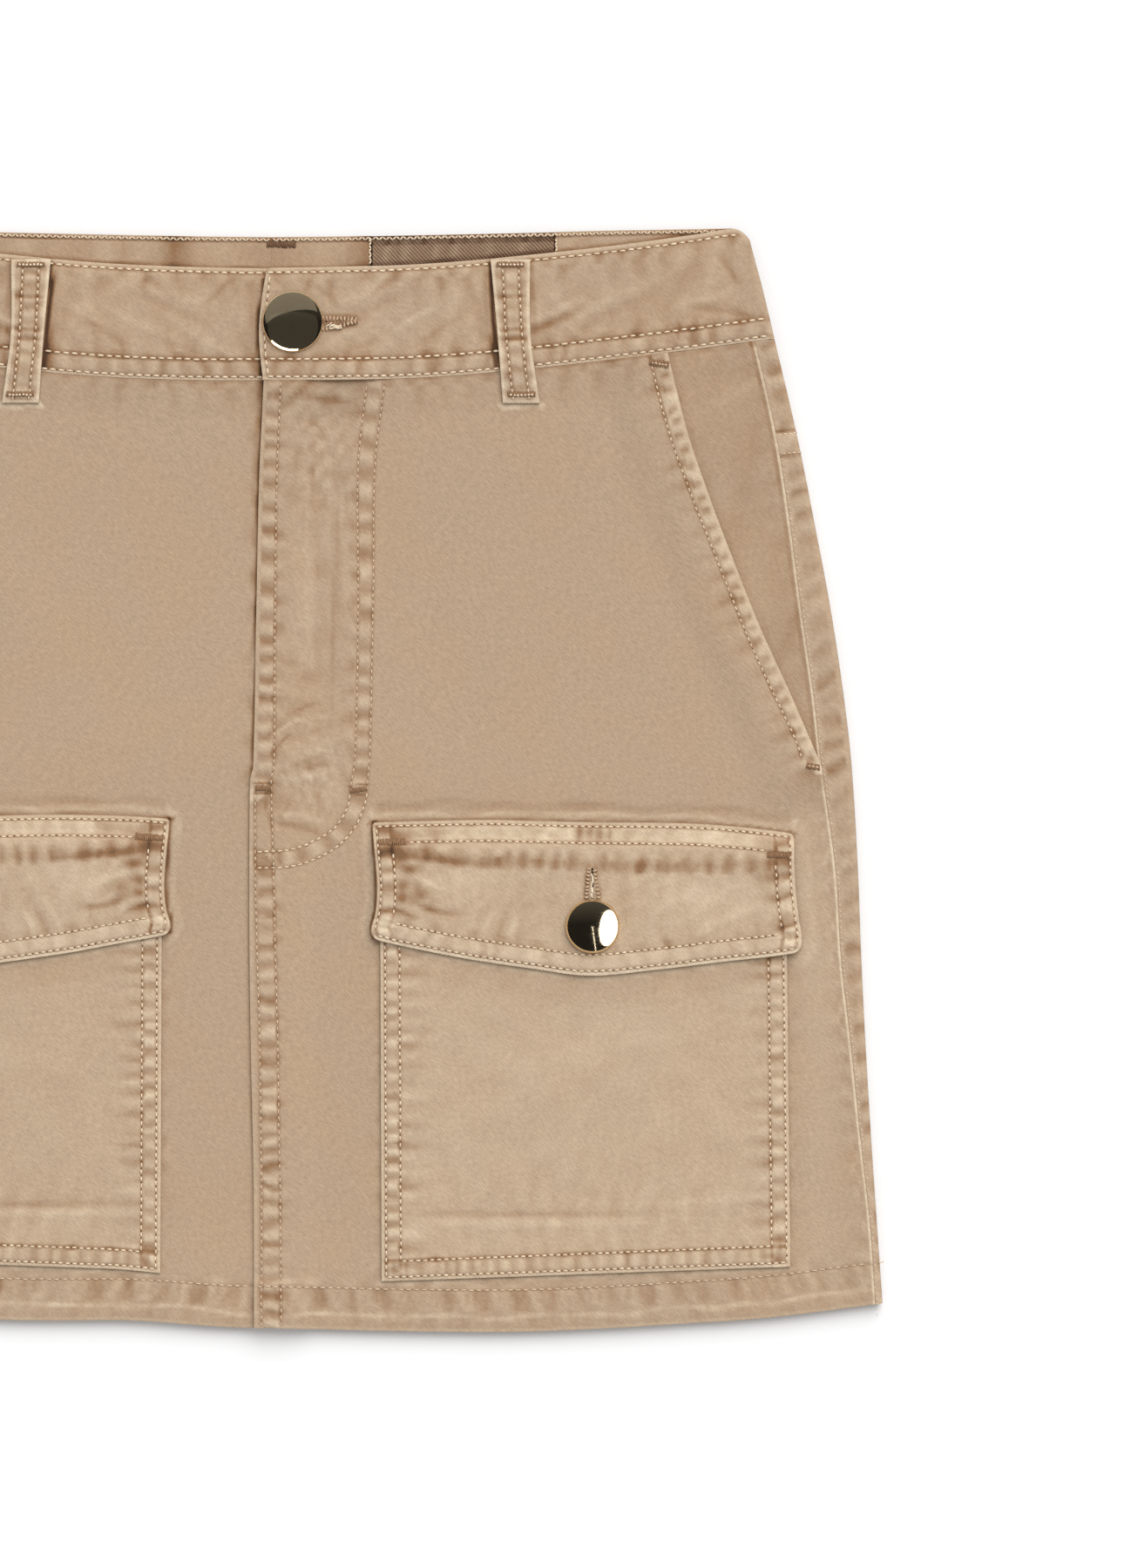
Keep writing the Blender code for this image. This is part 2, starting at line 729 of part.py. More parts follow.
def button(name, centre, radius, dome, seat, head, side=1):
    """A turned metal button: a shank through the buttonhole, a rolled rim and a domed face."""
    rim = 1.1
    profile = [(0, seat), (SHANK_RADIUS, seat), (SHANK_RADIUS, head)]
    for share, rise in ((0.93, 0), (1, 0.45), (0.985, 0.85), (0.955, 1)):
        profile.append((radius * share, head + rim * rise))
    steps = 6
    for k in range(1, steps + 1):
        angle = math.pi / 2 * k / steps
        profile.append((radius * 0.955 * math.cos(angle), head + rim + dome * math.sin(angle)))
    profile[-1] = (0, head + rim + dome)
    bm = bmesh.new()
    verts = [bm.verts.new(Vector((r, 0, z)) * MM) for r, z in profile]
    edges = [bm.edges.new(pair) for pair in zip(verts, verts[1:])]
    bmesh.ops.spin(
        bm, geom=verts + edges, axis=(0, 0, 1), cent=(0, 0, 0), angle=math.tau, steps=24, use_merge=True
    )
    bmesh.ops.remove_doubles(bm, verts=bm.verts, dist=1e-6)
    made = finish(name, bm, brass(), 50)
    made.location = lay(side * centre[0], centre[1], 0)


def build():
    for old in list(bpy.data.objects):
        bpy.data.objects.remove(old)
    right_front()
    left_front()
    for name, side in (("left", -1), ("right", 1)):
        hip_facing("hip_facing_" + name, side)
        back_panel("back_" + name, side)
        yoke("yoke_" + name, side)
        cargo_pocket("cargo_pocket_" + name, side)
        pocket_flap("pocket_flap_" + name, side)
        front_loop("belt_loop_front_" + name, side)
    waistband("waistband_left", -1, lambda y: -UNDERLAP_X, False)
    waistband("waistband_right", 1, lambda y: read(BAND_END, "x", y), True)
    cut_slot(bpy.data.objects["waistband_right"], WAIST_BUTTON, (1, 0))
    facing_inset()
    for name, x in (("left", -BACK_LOOP_X), ("centre", BACK_LOOP_CENTRE_X), ("right", BACK_LOOP_X)):
        back_loop("belt_loop_back_" + name, x)
    band_seat = FRONT_BAND_TOP + GAP
    button("waist_button", WAIST_BUTTON, 10.65, 2.2, band_seat, band_seat + BAND + GAP)
    for name, side in (("left", -1), ("right", 1)):
        x, y = side * FLAP_BUTTON[0], FLAP_BUTTON[1]
        seat = patch_face(x, y) + GAP
        button("flap_button_" + name, FLAP_BUTTON, 9.85, 3.3, seat, seat + FLAP + GAP, side)


build()
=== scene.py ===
import math
import bpy
import mathutils
import numpy as np
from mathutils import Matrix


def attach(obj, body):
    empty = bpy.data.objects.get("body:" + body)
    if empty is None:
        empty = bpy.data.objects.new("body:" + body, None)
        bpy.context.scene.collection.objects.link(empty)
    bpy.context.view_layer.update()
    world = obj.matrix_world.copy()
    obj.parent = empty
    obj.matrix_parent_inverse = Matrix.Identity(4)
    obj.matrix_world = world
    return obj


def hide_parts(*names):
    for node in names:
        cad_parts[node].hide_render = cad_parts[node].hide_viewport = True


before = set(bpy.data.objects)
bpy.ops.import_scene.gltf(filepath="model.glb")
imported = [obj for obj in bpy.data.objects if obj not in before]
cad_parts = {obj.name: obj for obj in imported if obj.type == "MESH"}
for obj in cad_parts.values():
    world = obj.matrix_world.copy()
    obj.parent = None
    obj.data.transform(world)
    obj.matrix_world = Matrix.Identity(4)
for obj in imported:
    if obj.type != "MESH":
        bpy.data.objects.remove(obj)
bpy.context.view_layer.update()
print("frame loaded:", len(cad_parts), "nodes")

# Everything below is in millimetres until a mesh is filled, x to the buttonhole side, y to the waist.
millimetre = 0.001
halves = ((1, "right"), (-1, "left"))

garment = {
    "cloth": 1.2, "hemCloth": 2, "band": 2.4, "flap": 2, "patch": 1.4, "loop": 1.2, "gap": 0.3,
    "seam": 0.06, "hemDepth": 16.8, "leftRise": 4.2, "leftSpread": 60, "layTop": 146, "layFoot": -200,
    "yokeCentre": 104, "yokeSide": 127.6, "yokeSideX": 191, "cornerX": 168, "cornerEndX": 175,
    "cornerDrop": 5.3, "frontTop": 3.9, "waistRise": 1.1, "waistFall": 70, "hemRise": 0.6, "hemFall": 20,
    "sideRise": 1.2, "sideFall": 28, "facingLap": 12, "facingFall": 16, "mouthFoot": 6, "seamLap": 11,
    "seamFall": 14, "bandLiftEnd": 27, "bandLiftFall": 18, "underlapX": 25, "overlapX": -5, "puff": 0.6,
    "climbY": -19, "climb": 7, "mouthTopX": 144.4, "frontLength": 346, "sideRow": 6.2, "yokeLevel": 11,
    "yokeFall": 20, "waistLift": 1, "bandPull": 1.3, "pullFall": 15, "frontWidth": 226, "smoothAngle": 50}
garment["backBandZ"] = garment["loop"] + garment["gap"]
garment["frontBandTop"] = garment["backBandZ"] + 2 * garment["band"] + garment["gap"]


def ease(share):
    share = np.clip(share, 0, 1)
    return share * share * (3 - 2 * share)


def mix(a, b, share):
    return a + (b - a) * share


def smoothCurve(keys, values):
    # a cubic through the points, level with its neighbours at each of them
    keys, values = np.array(keys, float), np.array(values, float)
    slopes = np.gradient(values, keys)
    slopes[1:-1] = (values[2:] - values[:-2]) / (keys[2:] - keys[:-2])

    def at(key):
        key = np.clip(key, keys[0], keys[-1])
        i = np.clip(np.searchsorted(keys, key, side="right") - 1, 0, len(keys) - 2)
        width = keys[i + 1] - keys[i]
        u = (key - keys[i]) / width
        ends = values[i] * (2 * u**3 - 3 * u**2 + 1) + values[i + 1] * (3 * u**2 - 2 * u**3)
        return ends + width * (slopes[i] * (u**3 - 2 * u**2 + u) + slopes[i + 1] * (u**3 - u**2))

    return at


# The outline: the side folds and side seams by height, the waistband's edges and the hem by width
sideY = [-190, -160, -129, -97, -65, -33, 5, 30, 62, 94, 126, 162, 180, 189, 196]
sideEdge = smoothCurve(
    sideY,
    [222.9, 220.8, 218.7, 216.8, 215.2, 214, 211.7, 208.9, 204.1, 198.1, 191.7, 183.2, 178.9, 176.5, 174.7])
sideSeam = smoothCurve(
    sideY,
    [220.2, 218.1, 214.6, 211.3, 207.7, 205.7, 200.5, 197.8, 193.2, 189, 184, 175.8, 171, 169, 167])
acrossX = [0, 28, 60, 92, 124, 155, 168, 187, 212, 223]
levels = {
    "frontTop": smoothCurve(
        acrossX,
        [186.4, 186.9, 188.3, 191.1, 194.6, 198.8, 200.8, 201.4, 201.4, 201.4]),
    "frontFoot": smoothCurve(acrossX, [145.6, 145.7, 146.9, 149.6, 153.2, 157, 158.8, 161.2, 162.7, 163]),
    "backTop": smoothCurve(acrossX, [198, 198.3, 198.9, 199.6, 200.4, 200.9, 201.1, 201.1, 201.1, 201.1]),
    "backFoot": smoothCurve(acrossX, [157.5, 157.7, 158.2, 158.9, 159.6, 160.2, 160.5, 161.2, 162.7, 163]),
    "hem": smoothCurve(
        acrossX,
        [-199.6, -200.5, -201.1, -201.1, -199.8, -197.9, -197.1, -195.4, -192.2, -190.8])}
flyEdge = smoothCurve(
    [-201, -145, -96, -50, 0, 5, 60, 113, 146], [-6.1, -6.4, -7.4, -7.9, -7.6, -6.5, -5.4, -4.2, -2.5])
mouthEdge = smoothCurve([6, 33, 56, 90, 104, 126, 156], [200.2, 188.6, 178.1, 164.7, 159.5, 152, 144.4])
bandEnd = smoothCurve(
    [147, 156, 165, 175, 182, 184.5, 186, 186.6], [-2.9, -3.9, -4.2, -3.2, -2.1, -1.5, -0.6, 0.3])


def level(name, x):
    return levels[name](np.abs(x))


def yokeLine(x):
    return mix(garment["yokeCentre"], garment["yokeSide"], np.abs(x) / garment["yokeSideX"])


folds = [  # soft folds in the front, with their middle, direction, size and height
    {"x": 120, "y": 100, "turn": 62, "length": 120, "width": 34, "rise": 0.5},
    {"x": 60, "y": 40, "turn": -72, "length": 150, "width": 40, "rise": -0.4},
    {"x": -100, "y": 70, "turn": -58, "length": 130, "width": 36, "rise": 0.5},
    {"x": 70, "y": 0, "turn": -4, "length": 190, "width": 44, "rise": 0.5},
    {"x": -90, "y": 4, "turn": 4, "length": 190, "width": 44, "rise": 0.5},
]


def turnedPlace(item, x, y):
    # how far a place lies along and across something that lies turned on the cloth
    turn = math.radians(item["turn"])
    dx, dy = x - item["x"], y - item["y"]
    return dx * math.cos(turn) + dy * math.sin(turn), dy * math.cos(turn) - dx * math.sin(turn)


def foldHeight(x, y):
    total = 0
    for fold in folds:
        along, across = turnedPlace(fold, x, y)
        reach = (2 * along / fold["length"]) ** 2 + (2 * across / fold["width"]) ** 2
        total = total + fold["rise"] * np.exp(-1.4 * reach)
    return total


def panelPly(x, y):
    return mix(garment["hemCloth"], garment["cloth"], ease(y - level("hem", x) - garment["hemDepth"]))


def frontFace(x, y):
    g = garment
    belowWaist = level("frontFoot", x) - y
    aboveHem = y - level("hem", x)
    down = np.clip(belowWaist / (belowWaist + aboveHem), 0, 1)
    fromFold = sideEdge(y) - np.abs(x)
    height = g["frontTop"] + g["waistRise"] * (1 - ease(belowWaist / g["waistFall"]))
    height = height + g["waistLift"] * (1 - ease(belowWaist / g["pullFall"]))
    height = height + g["hemRise"] * (1 - ease((aboveHem - g["hemDepth"] - 1) / g["hemFall"]))
    height = height + g["sideRise"] * np.sin(math.pi * down) * (1 - ease(fromFold / g["sideFall"]))
    inside = ease(fromFold / g["sideFall"]) * ease(belowWaist / 10) * ease(aboveHem / 24)
    return height + foldHeight(x, y) * inside


def mouthLift(x, y):
    g = garment
    across = ease((np.abs(x) - mouthEdge(y) + g["facingLap"] + 1 + g["facingFall"]) / g["facingFall"])
    down = ease((y - g["mouthFoot"] + 4 + g["facingFall"]) / g["facingFall"])
    return (g["cloth"] + g["gap"]) * across * down


def seamLift(x, y):
    g = garment
    past = x - flyEdge(y) - g["seamLap"] - 1
    pull = g["bandPull"] * (1 - ease((level("frontFoot", x) - y) / g["pullFall"]))
    return (panelPly(x, y) + g["gap"]) * (1 - ease(past / g["seamFall"])) + pull * (1 - ease((x - 20) / 20))


def panelFace(x, y):
    # the outer face of whichever front lies at x, y
    return frontFace(x, y) + mouthLift(x, y) + np.where(x > flyEdge(y) - 0.01, seamLift(x, y), 0)


def leftPanelFace(x, y):
    return frontFace(x, y) + mouthLift(x, y)


def bandFace(x, y):
    g = garment
    lift = (g["band"] + g["gap"]) * (1 - ease((x - g["bandLiftEnd"]) / g["bandLiftFall"]))
    return g["frontBandTop"] + np.where(x < g["overlapX"], 0, lift)


def leftBandFace(x, y):
    return garment["frontBandTop"] + 0 * x


def backFace(x, y):
    reach = y - level("backFoot", x) + garment["yokeLevel"] + garment["yokeFall"]
    return garment["backBandZ"] * ease(reach / garment["yokeFall"])


def lay(points):
    # the left half lies a little higher on the surface; the result is in metres
    g = garment
    down = np.clip((g["layTop"] - points[:, 1]) / (g["layTop"] - g["layFoot"]), 0, 1)
    laid = points.copy()
    laid[:, 1] += g["leftRise"] * ease(-points[:, 0] / g["leftSpread"]) * down
    return laid * millimetre


# Seams, puckers and wear. A path is a polyline; each point of cloth knows how far along and off it lies.
def alongPath(path, x, y):
    x, y = np.ravel(x), np.ravel(y)
    along, off = np.zeros(len(x)), np.full(len(x), 1e6)
    starts, steps = path[:-1], path[1:] - path[:-1]
    lengths = np.hypot(steps[:, 0], steps[:, 1])
    travelled = np.concatenate([[0], np.cumsum(lengths)])
    for k in range(len(steps)):
        dx, dy = x - starts[k, 0], y - starts[k, 1]
        share = (dx * steps[k, 0] + dy * steps[k, 1]) / lengths[k] ** 2
        held = np.clip(share, 0, 1)
        distance = np.hypot(dx - held * steps[k, 0], dy - held * steps[k, 1])
        side = np.sign(steps[k, 0] * dy - steps[k, 1] * dx)
        nearer = distance < np.abs(off)
        along = np.where(nearer, travelled[k] + held * lengths[k], along)
        off = np.where(nearer, distance * np.where(side == 0, 1, side), off)
    return along, off


def unevenWave(seed, length, pitch):
    # alternate crests and troughs of uneven size and spacing, from -1 to 1
    rng = np.random.default_rng(seed)
    count = int(length / pitch * 1.6) + 8
    spots = np.cumsum(rng.uniform(0.62, 1.45, count)) * pitch - 3 * pitch
    sizes = rng.uniform(0.25, 1, count) * np.where(np.arange(count) % 2, 1, -1)

    def at(along):
        i = np.clip(np.searchsorted(spots, along) - 1, 0, count - 2)
        share = ease((along - spots[i]) / (spots[i + 1] - spots[i]))
        return mix(sizes[i], sizes[i + 1], share)

    return at


def markedWave(seed, marks):
    # troughs at the marks and crests between them
    rng = np.random.default_rng(seed)
    marks = np.sort(np.array(marks, float))
    spots = np.sort(np.concatenate([marks, (marks[1:] + marks[:-1]) / 2, [marks[0] - 3, marks[-1] + 3]]))
    sizes = np.where(np.arange(len(spots)) % 2, -1, 1) * rng.uniform(0.55, 1, len(spots))

    def at(along):
        i = np.clip(np.searchsorted(spots, along) - 1, 0, len(spots) - 2)
        return mix(sizes[i], sizes[i + 1], ease((along - spots[i]) / (spots[i + 1] - spots[i])))

    return at


def travelledAlong(path):
    # how far along a path each of its points lies
    return np.concatenate([[0], np.cumsum(np.hypot(*(path[1:] - path[:-1]).T))])
# In a rope the ripples' crests are paler and their troughs darker, partly worn and unfaded dye and partly
# painted light and shade; pale adds a flat paleness, worn dye in some ropes and painted light in others; dusk
# adds a flat darkening, painted shade in most ropes and dye in the flap's wash streak
plainRope = {
    "soft": 1.2, "pitch": 5, "height": 0.3, "sink": 0, "wear": 0.4, "pale": 0, "depth": 0.5, "dusk": 0,
    "stray": 0.7, "slant": 0, "tail": 0, "tailSide": 1, "weave": 0, "marks": ()}
uneven = {"weave": 30, "stray": 13, "fade": 24}  # the length of each kind of unevenness
tailShare = {"height": 0.4, "depth": 0.95, "wear": 0.6, "darkFrom": 0.12, "paleFrom": 0.15}
creaseColumns = ("x", "y", "turn", "length", "width", "height", "wear", "depth", "bow")
spotColumns = ("x", "y", "rx", "ry", "wear", "depth", "mottle", "size", "seed", "drawn")


def rope(path, seed, low, high, soft, pitch, height, wear, depth, **more):
    # a strip of ripples along a path, from low to high beside it; more is any other value of plainRope
    return dict(
        more, path=path, seed=seed, low=low, high=high, soft=soft, pitch=pitch, height=height, wear=wear,
        depth=depth)


def creaseTable(rows):
    return [dict(zip(creaseColumns, row)) for row in rows]


def spotTable(rows):
    return [dict(zip(spotColumns, row)) for row in rows]


def makeRelief(ropes=(), creases=(), spots=()):
    # a function of x, y that gives height, a paleness (worn dye and painted light) and depth, a darkness
    # (unfaded dye and painted shade)
    ropes = [{**plainRope, **rope} for rope in ropes]
    waves, tails = [], []
    for r in ropes:
        length = travelledAlong(r["path"])[-1]
        marked = len(r["marks"]) > 0
        waves.append(markedWave(r["seed"], r["marks"]) if marked else unevenWave(r["seed"], length,
                                                                                 r["pitch"]))
        tails.append(unevenWave(r["seed"] + 500, length, r["pitch"] * 1.2))

    def at(x, y):
        shape = np.shape(x)
        x, y = np.ravel(x), np.ravel(y)
        height, wear, depth = np.zeros(len(x)), np.zeros(len(x)), np.zeros(len(x))
        for r, wave, tail in zip(ropes, waves, tails):
            along, off = alongPath(r["path"], x, y)
            low, high, soft, stray = r["low"], r["high"], r["soft"], r["stray"]
            if r["weave"]:
                off = off + r["weave"] * lumps(r["seed"] + 902, x, y, uneven["weave"])
            inside = ease((off - low + soft) / soft) * ease((high + soft - off) / soft)
            if stray:
                along = along + stray * lumps(r["seed"] + 900, x, y, uneven["stray"])
                patches = lumps(r["seed"] + 901, x, y, uneven["fade"])
                inside = inside * (1 - 0.3 * stray + 0.3 * stray * patches)
            ripple = wave(along + r["slant"] * off)
            height += inside * (r["height"] * ripple - r["sink"])
            wear += inside * (r["wear"] * np.clip(ripple, 0, 1) + r["pale"])
            depth += inside * (r["depth"] * np.clip(-ripple, 0, 1) + r["dusk"])
            if r["tail"]:
                beyond = np.maximum(off - high, 0) if r["tailSide"] > 0 else np.maximum(low - off, 0)
                fade = np.exp(-(beyond / r["tail"]) ** 2) * (beyond > 0)
                pull = tail(along + r["slant"] * off)
                height += tailShare["height"] * r["height"] * fade * pull
                dark = np.clip(-pull - tailShare["darkFrom"], 0, 1)
                pale = np.clip(pull - tailShare["paleFrom"], 0, 1)
                depth += tailShare["depth"] * r["depth"] * fade * dark
                wear += tailShare["wear"] * r["wear"] * fade * pale
        for crease in creases:
            u, v = turnedPlace(crease, x, y)
            reach = 2 * u / crease["length"]
            v = v - crease.get("bow", 0) * (reach**2 - 0.5)
            form = np.exp(-1.6 * reach**4) * np.exp(-3 * (2 * v / crease["width"]) ** 2)
            height += crease.get("height", 0) * form
            wear += crease.get("wear", 0) * form
            depth += crease.get("depth", 0) * form
        for spot in spots:
            near = np.exp(-((x - spot["x"]) / spot["rx"]) ** 2 - ((y - spot["y"]) / spot["ry"]) ** 2)
            wear += spot.get("wear", 0) * near
            depth += spot.get("depth", 0) * near
            if spot.get("mottle"):
                # uneven washing over a wider place
                patch = lumps(spot["seed"], x, y * spot.get("drawn", 1), spot["size"])
                wear += spot["mottle"] * near * np.clip(patch, 0, 1)
                depth += spot["mottle"] * near * np.clip(-patch, 0, 1)
                height += 0.12 * near * patch
        return height.reshape(shape), wear.reshape(shape), depth.reshape(shape)

    return at


def spaced(total, rows=(), coarse=1.5, fine=0.35, growth=0.32, ends=(True, True)):
    # shares from 0 to 1, closer together at the ends that need it and by each row of sewing
    bands = [(row, row, fine) if np.isscalar(row) else row for row in rows]
    bands += [(end, end, fine) for end, wanted in zip((0, total), ends) if wanted]
    at = [0]
    while at[-1] < total:
        steps = [step + growth * max(low - at[-1], at[-1] - high, 0) for low, high, step in bands]
        at.append(at[-1] + min(coarse, *steps) if steps else at[-1] + coarse)
    return np.array(at) / at[-1]


def stretchBetween(along, marks, places):
    # a place along the marks becomes the same place between them where they lie here
    found = places[0] + 0 * along
    for k in range(len(marks) - 1):
        share = np.clip((along - marks[k]) / (marks[k + 1] - marks[k]), 0, 1)
        found = found + share * (places[k + 1] - places[k])
    return found


def roundCorner(u, v, radius):
    # u and v are distances in from two edges that meet; the corner between them is drawn in to an arc
    a, b = np.clip(radius - u, 0, None), np.clip(radius - v, 0, None)
    shrink = np.maximum(a, b) / np.maximum(np.hypot(a, b), 1e-9)
    within = (a > 0) & (b > 0)
    return np.where(within, radius - a * shrink, u), np.where(within, radius - b * shrink, v)


def lumps(seed, x, y, size):
    # smooth uneven ups and downs from about -1 to 1
    rng = np.random.default_rng(seed)
    total = 0
    for _ in range(7):
        turn, phase, scale = rng.uniform(0, math.tau), rng.uniform(0, math.tau), rng.uniform(0.7, 1.6)
        total = total + np.sin((x * math.cos(turn) + y * math.sin(turn)) * math.tau * scale / size + phase)
    return total / 3.2


def pointsOf(mesh):
    points = np.zeros(len(mesh.vertices) * 3)
    mesh.vertices.foreach_get("co", points)
    return points.reshape(-1, 3)


def faceOutwards():
    # from edit mode, with every face turned outwards
    bpy.ops.mesh.select_all(action="SELECT")
    bpy.ops.mesh.normals_make_consistent(inside=False)
    bpy.ops.object.mode_set(mode="OBJECT")


def selectOnly(piece):
    bpy.ops.object.select_all(action="DESELECT")
    piece.select_set(True)
    bpy.context.view_layer.objects.active = piece


def addAttribute(piece, name, values):
    layer = piece.data.attributes.new(name, "FLOAT", "POINT")
    layer.data.foreach_set("value", np.asarray(values, np.float32))


def makeCloth(name, columns, rows, place, node, underShare=1, material=None):
    # a grid is laid on the cloth's outer face and extruded through to its inner face
    bpy.ops.object.select_all(action="DESELECT")
    bpy.ops.mesh.primitive_grid_add(x_subdivisions=len(columns) - 1, y_subdivisions=len(rows) - 1, size=2)
    piece = bpy.context.object
    piece.name = piece.data.name = name
    flat = pointsOf(piece.data)
    i = np.rint((flat[:, 0] + 1) / 2 * (len(columns) - 1)).astype(int)
    j = np.rint((flat[:, 1] + 1) / 2 * (len(rows) - 1)).astype(int)
    order = piece.data.attributes.new("gridOrder", "INT", "POINT")
    order.data.foreach_set("value", np.arange(len(flat), dtype=np.int32))
    bpy.ops.object.mode_set(mode="EDIT")
    bpy.ops.mesh.select_all(action="SELECT")
    bpy.ops.mesh.extrude_region()
    bpy.ops.object.mode_set(mode="OBJECT")
    mesh = piece.data
    count = len(mesh.vertices)
    ids, moved = np.zeros(count, np.int32), np.zeros(count, bool)
    mesh.attributes["gridOrder"].data.foreach_get("value", ids)
    mesh.vertices.foreach_get("select", moved)
    outer, inner, wear, depth, innerWear, innerDepth = place(np.array(columns)[i], np.array(rows)[j])
    points = np.where(moved[:, None], lay(outer)[ids], lay(inner)[ids])
    mesh.vertices.foreach_set("co", points.ravel())
    mesh.attributes.remove(mesh.attributes["gridOrder"])
    addAttribute(piece, "wear", np.where(moved, wear[ids], innerWear[ids]))
    addAttribute(piece, "depth", np.where(moved, depth[ids], innerDepth[ids]))
    mesh.update()
    selectOnly(piece)
    if underShare < 1:
        within = (i > 0) & (i < len(columns) - 1) & (j > 0) & (j < len(rows) - 1)
        under = piece.vertex_groups.new(name="under")
        under.add(np.nonzero(~moved & within[ids])[0].tolist(), 1, "REPLACE")
        thin = piece.modifiers.new("thin", "DECIMATE")
        thin.ratio, thin.vertex_group = 0.5 + underShare / 2, under.name
        bpy.ops.object.modifier_apply(modifier=thin.name)
        piece.vertex_groups.clear()
    bpy.ops.object.mode_set(mode="EDIT")
    faceOutwards()
    bpy.ops.object.shade_smooth_by_angle(angle=math.radians(garment["smoothAngle"]))
    mesh.materials.clear()
    mesh.materials.append(material or twill)
    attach(piece, "root")
    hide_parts(node)


def patchSurface(bottom, top, left, right):
    # a surface between four edges that meet, each a function from 0..1 to x, y
    corner = [[float(v) for v in edge(np.array(end))] for edge in (bottom, top) for end in (0, 1)]

    def point(s, t):
        b, u, l, r = bottom(s), top(s), left(t), right(t)
        found = []
        for k in (0, 1):
            value = (1 - t) * b[k] + t * u[k] + (1 - s) * l[k] + s * r[k]
            value = value - (1 - s) * (1 - t) * corner[0][k] - s * (1 - t) * corner[1][k]
            found.append(value - (1 - s) * t * corner[2][k] - s * t * corner[3][k])
        return found

    return point


turnedEdge = {
    "radius": 0.5, "drop": 0.1, "press": 0.22, "pressWidth": 3.4, "wornAt": 0.55, "wornWidth": 0.72,
    "unshaded": 0.85, "bandPress": 0.4, "bandRim": 0.36}


def edgeRoll(distance, press=turnedEdge["press"]):
    # how far a turned edge rolls down at its very border, and is pressed flat behind it
    share = np.clip(1 - distance / turnedEdge["radius"], 0, 1)
    pressed = press * (1 - ease(distance / turnedEdge["pressWidth"]))
    return -turnedEdge["drop"] * (1 - np.sqrt(np.clip(1 - share**2, 0, 1))) - pressed


def paleEdge(distance):
    # dye is worn off along a turned edge
    return np.exp(-(((distance - turnedEdge["wornAt"]) / turnedEdge["wornWidth"]) ** 4))


def laidPlace(point, face, thickness, relief, side=1, rolled=None, press=0.3, fade=0, rim=0.5):
    # rolled gives the distance from the piece's turned edges, from (s, t, x, y)
    def place(s, t):
        x, y = point(s, t)
        base = face(side * x, y)
        height, wear, depth = relief(x, y)
        wear = wear + fade
        top = base + height
        if rolled is not None:
            away = rolled(s, t, x, y)
            top = top + edgeRoll(away, press=press)
            wear = wear + rim * paleEdge(away)
            depth = depth * (1 - turnedEdge["unshaded"] * paleEdge(away))
        outer = np.stack([side * x, y, top], 1)
        inner = np.stack([side * x, y, base - thickness(side * x, y) + np.minimum(0.6 * height, 0)], 1)
        # the inner face is a little pale and darkened with painted shade, which the side walls fade into
        return outer, inner, wear, depth, 0 * wear + 0.1, 0 * wear + 0.45

    return place


# Finishes
def toLinear(colour):
    def channel(c):
        return c / 255 / 12.92 if c <= 10.3 else ((c / 255 + 0.055) / 1.055) ** 2.4

    return (*map(channel, colour), 1)


# pale is the tone of worn dye and painted light, dark of unfaded dye and painted shade, deep mostly of
# painted shadow lines
twillLook = {
    "base": (169, 145, 121), "warm": (169, 142, 115), "grey": (164, 144, 121), "pale": (207, 188, 162),
    "dark": (136, 102, 73), "deep": (74, 52, 36), "roughness": 0.9, "sheen": 0.04}
insetLook = {
    "base": (127, 103, 83), "warm": (119, 94, 74), "grey": (131, 109, 90), "pale": (165, 142, 118),
    "dark": (88, 65, 49), "deep": (48, 34, 26), "roughness": 0.92, "sheen": 0.03}


def feed(tree, socket, value):
    if isinstance(value, bpy.types.NodeSocket):
        tree.links.new(value, socket)
    else:
        socket.default_value = value


def addNode(tree, kind, **settings):
    # each setting is the node's own, or the value or link of an input
    node = tree.nodes.new("ShaderNode" + kind)
    for key, value in settings.items():
        if key in node.inputs:
            feed(tree, node.inputs[key], value)
        else:
            setattr(node, key, value)
    return node


def mixColours(tree, share, first, second, blend="MIX"):
    node = addNode(tree, "Mix", data_type="RGBA", blend_type=blend)
    sockets = {socket.identifier: socket for socket in node.inputs}
    for name, value in (("Factor_Float", share), ("A_Color", first), ("B_Color", second)):
        feed(tree, sockets[name], value)
    return next(socket for socket in node.outputs if socket.identifier == "Result_Color")


def inRange(tree, value, low, high, toLow=0, toHigh=1):
    limits = {"From Min": low, "From Max": high, "To Min": toLow, "To Max": toHigh}
    return addNode(tree, "MapRange", Value=value, **limits).outputs["Result"]


def noise(tree, vector, scale, detail=2, roughness=0.5):
    return addNode(
        tree, "TexNoise", Vector=vector, Scale=scale, Detail=detail, Roughness=roughness
    ).outputs["Fac"]


def attribute(tree, name):
    return addNode(tree, "Attribute", attribute_name=name).outputs["Fac"]


def inMillimetres(tree, place):
    return addNode(
        tree, "VectorMath", operation="SCALE", Vector=place, Scale=1 / millimetre
    ).outputs["Vector"]


def product(tree, first, second, operation="MULTIPLY", **settings):
    node = addNode(tree, "Math", operation=operation, **settings)
    feed(tree, node.inputs[0], first)
    feed(tree, node.inputs[1], second)
    return node.outputs["Value"]


def startMaterial(name, colour=None):
    material = bpy.data.materials.new(name)
    material.use_nodes = True
    if colour:
        material.diffuse_color = toLinear(colour)
    return material, material.node_tree, addNode(material.node_tree, "TexCoord").outputs["Object"]


def setShader(tree, values):
    for name, value in values.items():
        feed(tree, tree.nodes["Principled BSDF"].inputs[name], value)


def finishMaterial(tree, relief, strength, distance, values):
    # the values and links of the shader, with a fine relief on it
    bump = addNode(tree, "Bump", Strength=strength, Distance=distance, Height=relief).outputs["Normal"]
    setShader(tree, {**values, "Normal": bump})


